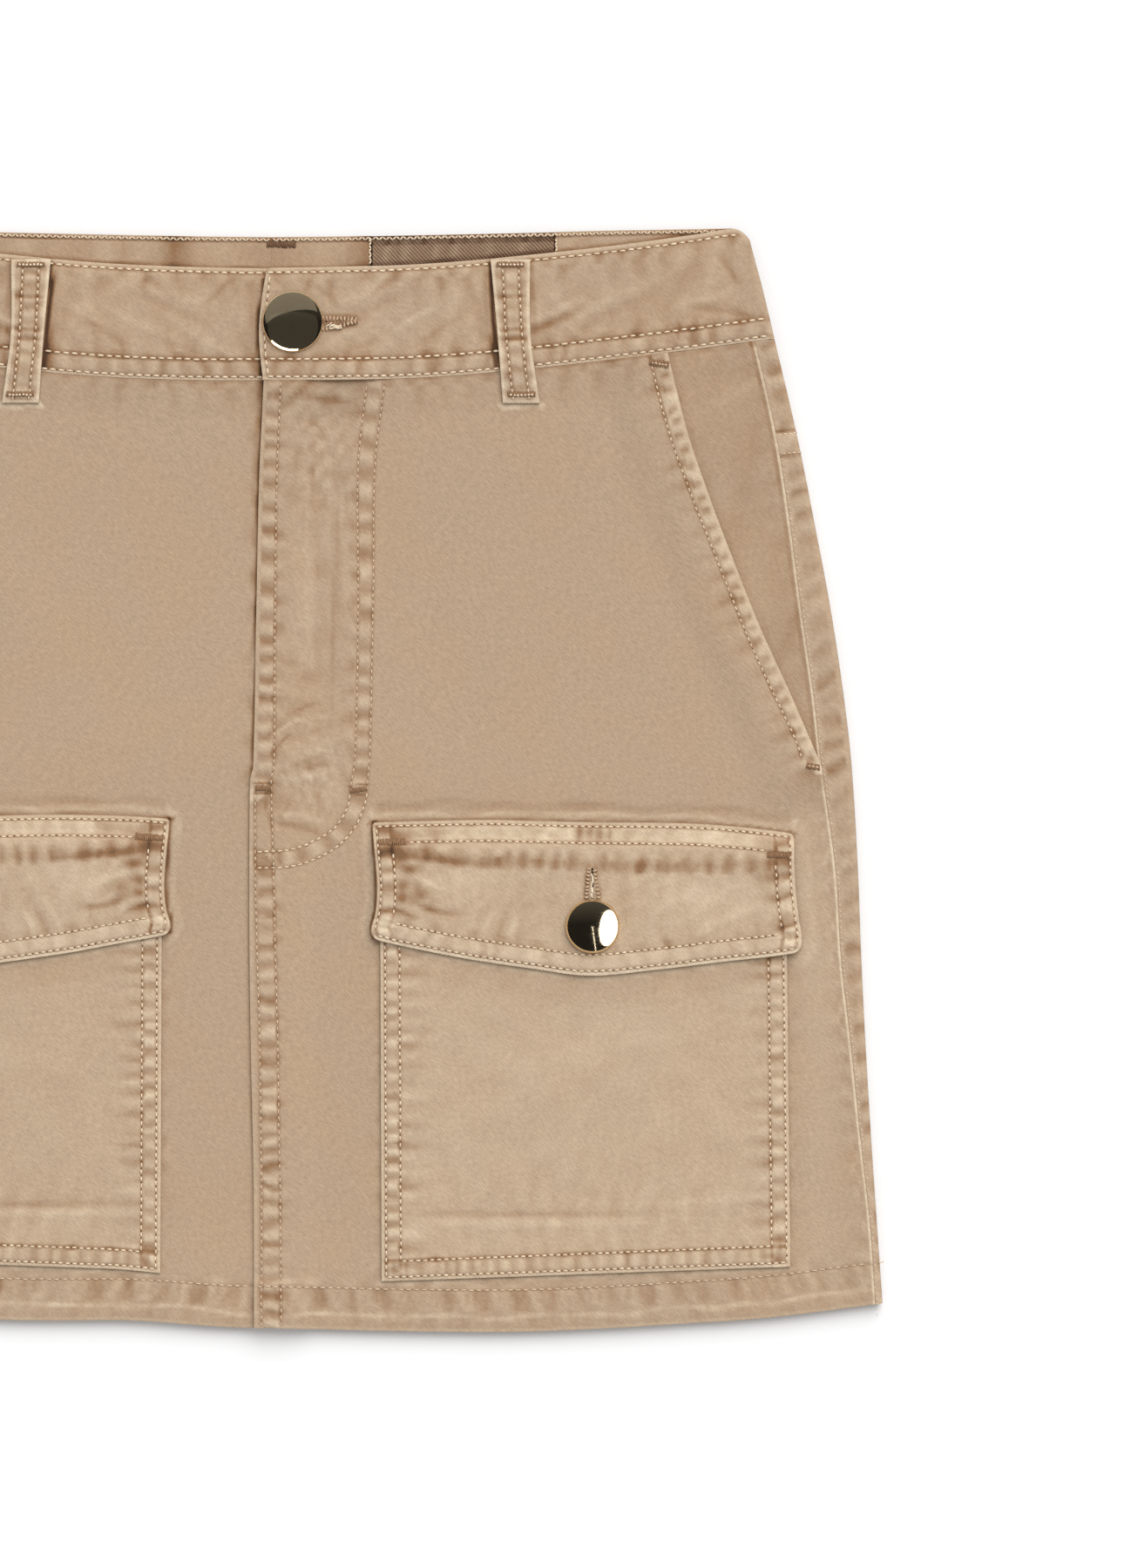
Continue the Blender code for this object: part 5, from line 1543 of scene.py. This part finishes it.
def makeButtons():
    g = garment
    bandSeat = g["frontBandTop"] + g["gap"]
    cutSlot("waistband_right_cloth", buttons["waist"])
    makeButton("waistButton", "waist_button", buttons["waist"], bandSeat, bandSeat + g["band"] + g["gap"])
    for side, name in halves:
        x, y = buttons["flap"]["centre"]
        cutSlot("pocketFlap_" + name, buttons["flap"], side)
        seat = float(pocketFace(side * x, y)) + g["gap"]
        makeButton(
            "flapButton_" + name, "flap_button_" + name, buttons["flap"], seat, seat + g["flap"] + g["gap"],
            side)


makeButtons()
print("buttons made")


# Sewing: one stitch is modelled once and copied along every seam into one mesh for each piece
stitching = {
    "sides": 5,
    "patch": {"pitch": 2.55, "length": 1.95, "radius": 0.36},
    "band": {"pitch": 3.15, "length": 2.55, "radius": 0.39},
    "fly": {"pitch": 2.5, "length": 1.9, "radius": 0.29, "hole": 0.6},
    "curve": {"pitch": 2.5, "length": 2, "radius": 0.33, "hole": 0.5},
    "mouth": {"pitch": 2.45, "length": 1.65, "radius": 0.27, "hole": 0.75},
    "loop": {"pitch": 2.6, "length": 1.85, "radius": 0.33},
    "hem": {"pitch": 2.85, "length": 2.1, "radius": 0.3, "hole": 0.65},
    "purl": {"across": True, "pitch": 1.35, "length": 2.3, "radius": 0.4, "rise": 0.2, "wobble": 0.2},
    "bends": (-0.62, 0, 0.62), "flatness": 0.9, "dive": 0.25, "lookFrom": 0.05,
    "holeLength": 0.34, "holeWidth": 0.42, "holeHeight": 0.12, "holeTurn": 0.6,
    "holeRise": 0.03}


def takeShape():
    # the finished shape's points and faces; the object itself goes
    shape = bpy.context.object
    points = pointsOf(shape.data)
    faces = [list(face.vertices) for face in shape.data.polygons]
    bpy.data.objects.remove(shape)
    return points, faces


def stitchShape():
    bpy.ops.object.select_all(action="DESELECT")
    bpy.ops.mesh.primitive_cylinder_add(
        vertices=stitching["sides"], radius=1, depth=2, end_fill_type="TRIFAN", rotation=(0, math.pi / 2, 0)
    )
    bpy.ops.object.transform_apply(rotation=True)
    bpy.ops.object.mode_set(mode="EDIT")
    for cut in stitching["bends"]:
        bpy.ops.mesh.select_all(action="SELECT")
        bpy.ops.mesh.bisect(plane_co=(cut, 0, 0), plane_no=(1, 0, 0))
    faceOutwards()
    return takeShape()


def beadShape():
    bpy.ops.object.select_all(action="DESELECT")
    bpy.ops.mesh.primitive_ico_sphere_add(subdivisions=1, radius=1)
    return takeShape()


stitchPoints, stitchFaces = stitchShape()
beadPoints, beadFaces = beadShape()


def alongRow(path, pitch):
    # evenly spaced places on a path: x, y and direction
    steps = path[1:] - path[:-1]
    travelled = travelledAlong(path)
    count = max(1, int(round(travelled[-1] / pitch)))
    at = (np.arange(count) + 0.5) * travelled[-1] / count
    k = np.clip(np.searchsorted(travelled, at) - 1, 0, len(steps) - 1)
    turn = np.arctan2(steps[k, 1], steps[k, 0])
    return np.stack([np.interp(at, travelled, path[:, 0]), np.interp(at, travelled, path[:, 1]), turn], 1)


def joinCopies(name, points, faces, material, dips, side):
    # points has one block of vertices for each copy
    copies, each = points.shape[0], points.shape[1]
    if side < 0:
        faces = [face[::-1] for face in faces]
    mesh = bpy.data.meshes.new(name)
    mesh.from_pydata(
        lay(points.reshape(-1, 3)).tolist(),
        [],
        [[v + k * each for v in face] for k in range(copies) for face in faces])
    piece = bpy.data.objects.new(name, mesh)
    bpy.context.scene.collection.objects.link(piece)
    addAttribute(piece, "dip", np.ravel(dips))
    selectOnly(piece)
    bpy.ops.object.shade_smooth()
    mesh.materials.append(material)
    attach(piece, "root")


def surfaceOf(pieceName):
    # heights of a finished piece, found by looking straight down at it
    mesh = bpy.data.objects[pieceName].data
    tree = mathutils.bvhtree.BVHTree.FromPolygons(
        pointsOf(mesh).tolist(), [list(face.vertices) for face in mesh.polygons])
    down = mathutils.Vector((0, 0, -1))

    def at(x, y):
        flat = lay(np.stack([x, y, 0 * x], 1))
        starts = [mathutils.Vector((px, py, stitching["lookFrom"])) for px, py, _ in flat]
        found = [tree.ray_cast(start, down)[0] for start in starts]
        heights = np.array([np.nan if spot is None else spot.z / millimetre for spot in found])
        return np.where(np.isnan(heights), np.nanmedian(heights), heights)

    return at


def besideSlot(topOf, acrossX, acrossY):
    return lambda x, y: np.maximum(topOf(x + acrossX, y + acrossY), topOf(x - acrossX, y - acrossY))


def makeStitches(name, rows, topOf, side=1, seed=1, material=None):
    # a row has a path; a tack or a buttonhole's edge has its stitches turned across the path
    rng = np.random.default_rng(seed)
    places, sizes = [], []
    for row in rows:
        spots = alongRow(row["path"], row["pitch"])
        if row.get("across"):
            spots[:, 2] += math.pi / 2
        spots[:, 2] += row.get("zigzag", 0) * np.where(np.arange(len(spots)) % 2, 1, -1)
        spots[:, 2] += rng.normal(0, row.get("wobble", 0.04), len(spots)) + row.get("lean", 0)
        spots[:, :2] += rng.normal(0, row.get("drift", 0.05), (len(spots), 2))
        places.append(spots)
        length = row["length"] * rng.uniform(0.88, 1.07, len(spots))
        radius = row["radius"] * rng.uniform(0.88, 1.1, len(spots))
        rise = np.full(len(spots), row.get("rise", 0.1))
        sizes.append(np.stack([length / 2, radius, rise], 1))
    places, sizes = np.concatenate(places), np.concatenate(sizes)
    u, v, w = (stitchPoints[None, :, k] for k in (0, 1, 2))
    end = np.abs(u) ** 3
    thin = 1 - 0.5 * end
    cos, sin = np.cos(places[:, 2:3]), np.sin(places[:, 2:3])
    along, across = u * sizes[:, :1], v * thin * sizes[:, 1:2]
    spineX, spineY = places[:, :1] + cos * along, places[:, 1:2] + sin * along
    x, y = spineX - sin * across, spineY + cos * across
    rings, ring = np.unique(np.round(stitchPoints[:, 0], 3), return_inverse=True)
    ringX = places[:, :1] + cos * rings[None] * sizes[:, :1]
    ringY = places[:, 1:2] + sin * rings[None] * sizes[:, :1]
    z = topOf(side * ringX.ravel(), ringY.ravel()).reshape(ringX.shape)[:, ring]
    z = z + sizes[:, 2:3] + w * thin * sizes[:, 1:2] * stitching["flatness"]
    z = z - end * (sizes[:, 2:3] + stitching["dive"])
    joinCopies(name, np.stack([side * x, y, z], 2), stitchFaces, material or seamThread, end + 0 * x, side)


def makeNeedleHoles(name, rows, topOf, side=1):
    # between two stitches the thread goes down in a small shaded place, and a small dark bead there is
    # painted shade
    rng = np.random.default_rng(len(name))
    points = []
    for row in rows:
        spots = alongRow(row["path"], row["pitch"])
        middle = (spots[1:, :2] + spots[:-1, :2]) / 2
        turn = spots[1:, 2:] + stitching["holeTurn"] * rng.uniform(0.4, 1.2, (len(middle), 1))
        size = row.get("hole", 1) * rng.uniform(0.7, 1.15, (len(middle), 1))
        u, v, w = (beadPoints[None, :, k] for k in (0, 1, 2))
        along, across = u * stitching["holeLength"] * size, v * stitching["holeWidth"] * size
        x = middle[:, :1] + np.cos(turn) * along - np.sin(turn) * across
        y = middle[:, 1:] + np.sin(turn) * along + np.cos(turn) * across
        centre = topOf(side * middle[:, 0], middle[:, 1])[:, None]
        z = centre + stitching["holeRise"] + w * stitching["holeHeight"]
        points.append(np.stack([side * x, y, z], 2))
    points = np.concatenate(points)
    joinCopies(name, points, beadFaces, needleShade, 0 * points[:, :, 0], side)


def sewRows(kind, name, rows, topOf, side, seed):
    makeStitches(kind + "Stitches_" + name, rows, topOf, side, seed + side)
    makeNeedleHoles(kind + "NeedleHoles_" + name, rows, topOf, side)


def seam(kind, path, **changes):
    return dict(stitching[kind], path=path, **changes)


def tack(fromX, fromY, toX, toY, width=2.4, pitch=0.56):
    return {
        "path": line((fromX, fromY), (toX, toY)), "across": True, "pitch": pitch, "length": width * 1.1,
        "radius": 0.32, "wobble": 0.12, "rise": 0.22}


def tackLine(fromX, fromY, toX, toY, radius=0.26):
    # the pale thread that runs along a tack
    return {
        "path": line((fromX, fromY), (toX, toY)), "pitch": 1.3, "length": 1.2, "radius": radius,
        "rise": 0.42, "wobble": 0.12}


def sewFronts():
    for side, name in halves:
        topOf = surfaceOf("frontPanel_" + name)
        hemFrom = -5.4 if side > 0 else 8
        rows = [seam("mouth", upPath(mouthEdge, 8, 156, mouthRow))]
        fineRows = [seam("hem", acrossPath("hem", hemFrom, 216.5, hemRowInset))]
        tacks = [tack(137.8, 152.2, 145, 151, 3), tack(194.9, 5.4, 200, 4.4, 2.6)]
        tackLines = [tackLine(138.4, 152, 144.4, 151), tackLine(195.4, 5.3, 199.6, 4.5)]
        if side > 0:
            turns = [smoothPath(fly[turn]) for turn in ("turnIn", "turnOut")]
            fineRows += [
                seam("fly", upPath(flyEdge, -199.5, 145.5, fly["edgeRow"])),
                seam("fly", upPath(flyEdge, -199.5, -5, fly["seamRow"]))]
            fineRows += [seam("fly", turn[turn[:, 1] > -6]) for turn in turns]
            rows += [seam("curve", turn[turn[:, 1] < -4]) for turn in turns]
            tacks += [tack(-5.9, -3, 0.3, -3, 2.5), tack(28.6, -4, 35, -3.2, 2.3)]
        makeStitches("frontStitches_" + name, rows, topOf, side, 11 + side)
        makeStitches("frontFineStitches_" + name, fineRows, topOf, side, 13 + side, flyThread)
        makeNeedleHoles("frontNeedleHoles_" + name, rows + fineRows, topOf, side)
        makeStitches("frontTacks_" + name, tacks, topOf, side, 15 + side, darkThread)
        makeStitches("frontTackLines_" + name, tackLines, topOf, side, 17 + side, paleThread)


def sewSides():
    for side, name in halves:
        hem = acrossPath("hem", 220.8, 223.4, hemRowInset)
        fine = {"pitch": 2, "length": 1.6, "radius": 0.22}
        rows = [
            dict(fine, path=line((184.6, 125.9), (191.8, 126.6))),
            dict(fine, path=line((186, 118.9), (193.4, 119.6))), seam("hem", hem)]
        topOf = surfaceOf("backPanel_" + name)
        makeStitches("sideStitches_" + name, rows, topOf, side, 21 + side)
        overlock = [{"path": upPath(sideSeam, -196, 118, 0.7), "pitch": 2, "length": 1, "radius": 0.16,
                     "lean": 0.5, "wobble": 0.4, "drift": 0.12, "rise": 0.05}]
        makeStitches("sideOverlock_" + name, overlock, topOf, side, 25 + side, paleThread)


def sewWaistband():
    for side, name in halves:
        startX = -2 if side > 0 else -20
        topOf = surfaceOf("waistband_" + name + "_cloth")
        rows = [
            seam("band", acrossPath("frontTop", startX + 0.4, 170, bandTopRow)),
            seam("band", acrossPath("frontFoot", startX + 0.4, 181, 1.2)),
            seam("band", acrossPath("frontFoot", startX + 1.2, 180, 7.6))]
        if side > 0:
            rows.append(seam("band", smoothPath([(-1, 147.2), (-1.9, 156), (-2.2, 165), (-1.2, 175),
                                                 (-0.2, 183.6)])))
        sewRows("waistband", name, rows, topOf, side, 31)
        inside = insideTops[name]
        chain = [{"path": acrossPath("backTop", 0.5, 166, -1.1), "pitch": 1.25, "length": 2,
                  "radius": 0.36, "rise": 0.16, "zigzag": 0.75}]
        makeStitches("bandInsideStitches_" + name, chain, inside, side, 35 + side, chainThread)
    inside, topOf = insideTops["right"], surfaceOf("waistband_right_cloth")
    ends = [{"path": line((x, 188), (x, 197.2)), "pitch": 1.15, "length": 1.6, "radius": 0.36, "rise": 0.3,
             "zigzag": 0.5}
            for x in (inset["fromX"] - 0.9, inset["toX"] + 0.9)]
    makeStitches("insetEndStitches", ends, inside, 1, 38, paleThread)
    makeStitches("bandInsideTack", [tack(-1.6, 195.4, 9, 195.2, 2.8)], inside, 1, 39, barThread)
    topOf = besideSlot(topOf, 0, 3.2)
    legs = [
        seam("purl", line((18.4, 168), (31.6, 167.7))),
        seam("purl", line((18.4, 164), (24, 164.7), (31.4, 166.9)))]
    makeStitches("waistButtonholeStitches", legs, topOf, 1, 41, purlThread)
    fill = [seam("purl", line((18.2, 166), (24, 166.3), (31.6, 167.2)), length=3, radius=0.36,
                 rise=-0.12, pitch=0.5)]
    makeStitches("waistButtonholeFill", fill, topOf, 1, 42, darkThread)
    fray = [{"path": line((21.4, 165.2), (25.2, 164.8)), "pitch": 0.17, "length": 2, "radius": 0.22,
             "wobble": 0.5, "drift": 0.45, "rise": 0.6, "lean": 0.4}]
    makeStitches("waistButtonholeFray", fray, topOf, 1, 43, paleThread)


def sewLoops():
    for side, name in halves:
        middle = smoothPath([(91.2, 137.9), (88.6, 161.9), (87.2, 189)])
        rows = [seam("loop", middle + line((off, 0))) for off in (-2.9, 2.9)]
        topOf = surfaceOf("frontLoop_" + name)
        sewRows("loop", name, rows, topOf, side, 51)
        tacks = [tack(82.2, 187.6, 92.4, 187.6), tack(86.2, 140.5, 96.4, 140.5)]
        makeStitches("loopTacks_" + name, tacks, topOf, side, 55 + side, darkThread)
        lines = [tackLine(82.8, 187.6, 92, 187.6, 0.42), tackLine(86.8, 140.2, 95.8, 140.2, 0.42)]
        makeStitches("loopTackLines_" + name, lines, topOf, side, 57 + side, paleThread)


def sewPockets():
    p = pocket
    (insideTop, insideFoot), (outsideTop, outsideFoot) = p["insideX"], p["outsideX"]
    for side, name in halves:
        rows = []
        for k in (0, 1):
            inward, outward, up = p["rowInside"][k], p["rowOutside"][k], p["rowBottom"][k]
            footIn = (insideFoot + inward, p["bottomY"][0] + up)
            footOut = (outsideFoot - outward, p["bottomY"][1] + up)
            rows += [
                seam("patch", line((insideTop + inward, p["topY"] - 1), footIn)),
                seam("patch", line(footIn, footOut)),
                seam("patch", line(footOut, (outsideTop - outward, p["topY"] - 1)))]
        topOf = surfaceOf("cargoPocket_" + name)
        sewRows("pocket", name, rows, topOf, side, 61)


def sewFlaps():
    f = flap
    for side, name in halves:
        rows = [
            seam("patch", acrossPath(f["top"], 38.4, 188.6, -f["topRows"][0])),
            seam("patch", acrossPath(f["top"], 50, 180, -f["topRows"][1])),
            seam("patch", acrossPath(f["foot"], 38.6, 191, f["footRows"][0])),
            seam("patch", acrossPath(f["foot"], 45, 185.2, f["footRows"][1]))]
        for outside in (False, True):
            outer, inner = f["outsideRows" if outside else "insideRows"]
            rows += [
                seam("patch", flapSide(outside, outer, 0.07, 0.95)),
                seam("patch", flapSide(outside, inner, 0.2, 0.74))]
        topOf = surfaceOf("pocketFlap_" + name)
        sewRows("flap", name, rows, topOf, side, 71)
        tacks = [tack(38.8, -22.6, 49.3, -22.4, 2.8), tack(180.7, -27.2, 189.4, -27.4, 2.8)]
        legs = [seam("purl", line(*ends), length=2.1) for ends in (
            ((115.9, -31.6), (114.8, -43.4)), ((117.8, -32.4), (119.4, -43.4)))]
        besideHole = besideSlot(topOf, 3.2, 0)
        makeStitches("flapButtonholeStitches_" + name, legs, besideHole, side, 79 + side, purlThread)
        fray = [{"path": line((116.9, -34), (117.1, -43.2)), "pitch": 0.9, "length": 2.4, "radius": 0.3,
                 "rise": -0.05, "drift": 0.2, "wobble": 0.2}]
        makeStitches("flapButtonholeFray_" + name, fray, besideHole, side, 81 + side, paleThread)
        makeStitches("flapTacks_" + name, tacks, topOf, side, 75 + side, darkThread)


sewFronts()
sewSides()
sewWaistband()
sewLoops()
sewPockets()
sewFlaps()
print("sewing made")


# Floor, camera and light
flapSpot, flapMetal = (0.117, -0.053, 0.01), ("flapButton_left", "flapButton_right")
waistSpot, waistMetal = (0.008, 0.167, 0.01), ("waistButton",)
cardColumns = ("power", "width", "length", "place", "faces", "shape", "metal")
studio = {
    "pixelsPerMm": 3.15, "imageWidth": 1290, "imageHeight": 1800, "originPixel": (311, 895.5),
    "clothLevel": 5,
    "lens": 150, "sensor": 36, "floorTone": (0.79, 0.79, 0.79, 1), "exposure": 0,
    "world": 0.62, "metalSky": (0.015, 0.07), "key": 3.15, "keyRise": 45, "keyTurn": 24,
    "keyAway": 3, "keyAim": (0.1, 0, 0), "keySpread": 60, "floorSize": 8, "floorDrop": 0.3,
    # cards are seen only by the metal they are made for
    "cards": [dict(zip(cardColumns, row)) for row in [
        (3, 0.46, 0.58, (0.318, -0.078, 0.1), flapSpot, "ELLIPSE", flapMetal),
        (0.011, 0.002, 0.34, (0.134, -0.178, 0.135), flapSpot, "RECTANGLE", flapMetal),
        (0.3, 0.17, 0.085, (-0.046, 0.026, 0.045), waistSpot, "RECTANGLE", waistMetal),
        (0.09, 0.6, 0.3, (-0.03, 0.325, 0.14), waistSpot, "RECTANGLE", waistMetal),
        (0.05, 0.7, 0.7, (0.008, -0.003, 0.25), waistSpot, "RECTANGLE", waistMetal),
    ]],
}


def placeLight(kind, name, place, spot):
    bpy.ops.object.light_add(type=kind, location=place)
    light = bpy.context.object
    light.name = name
    light.rotation_euler = (mathutils.Vector(spot) - light.location).to_track_quat("-Z", "Y").to_euler()
    return light


def makeStudio():
    s = studio
    bpy.ops.object.select_all(action="DESELECT")
    bpy.ops.mesh.primitive_plane_add(size=s["floorSize"], location=(0, 0, -s["floorDrop"] * millimetre))
    floor = bpy.context.object
    floor.name = floor.data.name = "floor"
    paper, tree, place = startMaterial("paper")
    tone = inRange(tree, noise(tree, place, 3, 1), 0, 1, 0.995, 1)
    even = addNode(
        tree, "VectorMath", operation="SCALE", Vector=s["floorTone"][:3], Scale=tone
    ).outputs["Vector"]
    setShader(tree, {"Base Color": even, "Roughness": 0.95, "Specular IOR Level": 0})
    floor.data.materials.append(paper)

    across = (s["imageWidth"] / 2 - s["originPixel"][0]) / s["pixelsPerMm"]
    up = (s["originPixel"][1] - s["imageHeight"] / 2) / s["pixelsPerMm"]
    away = s["imageHeight"] / s["pixelsPerMm"] * s["lens"] / s["sensor"] + s["clothLevel"]
    bpy.ops.object.camera_add(
        location=(across * millimetre, up * millimetre, away * millimetre),
        rotation=(0, 0, 0))
    camera = bpy.context.object
    camera.name = "studioCamera"
    camera.data.lens, camera.data.sensor_width = s["lens"], s["sensor"]
    bpy.context.scene.camera = camera

    # one broad soft light from beyond the waist, a little to the right, and an even sky
    rise, turn = math.radians(s["keyRise"]), math.radians(s["keyTurn"])
    aim, away = s["keyAim"], s["keyAway"]
    aside = away * math.cos(rise)
    key = placeLight(
        "SUN", "keyLight",
        (aim[0] + aside * math.sin(turn), aside * math.cos(turn), away * math.sin(rise)),
        aim)
    key.data.energy, key.data.angle = s["key"], math.radians(s["keySpread"])
    key.visible_glossy = False
    for k, card in enumerate(s["cards"]):
        light = placeLight("AREA", "metalCard_" + str(k + 1), card["place"], card["faces"])
        light.data.shape, light.data.energy = card["shape"], card["power"]
        light.data.size, light.data.size_y = card["width"], card["length"]
        light.visible_diffuse = light.visible_camera = False
        seen = bpy.data.collections.new(light.name + "Metal")
        for name in card["metal"]:
            seen.objects.link(bpy.data.objects[name])
        light.light_linking.receiver_collection = seen

    world = bpy.data.worlds.new("studioWorld")
    world.use_nodes = True
    tree = world.node_tree
    glossy = addNode(tree, "LightPath").outputs["Is Glossy Ray"]
    toward = addNode(tree, "SeparateXYZ", Vector=addNode(tree, "TexCoord").outputs["Generated"]).outputs["Y"]
    metalSky = inRange(tree, toward, 0.05, 0.95, *s["metalSky"])
    strength = addNode(tree, "Mix", Factor=glossy, A=s["world"], B=metalSky).outputs["Result"]
    feed(tree, tree.nodes["Background"].inputs["Color"], (1, 1, 1, 1))
    feed(tree, tree.nodes["Background"].inputs["Strength"], strength)
    bpy.context.scene.world = world
    view = bpy.context.scene.view_settings
    view.view_transform, view.look, view.exposure = "Standard", "None", s["exposure"]


makeStudio()
print("studio made")
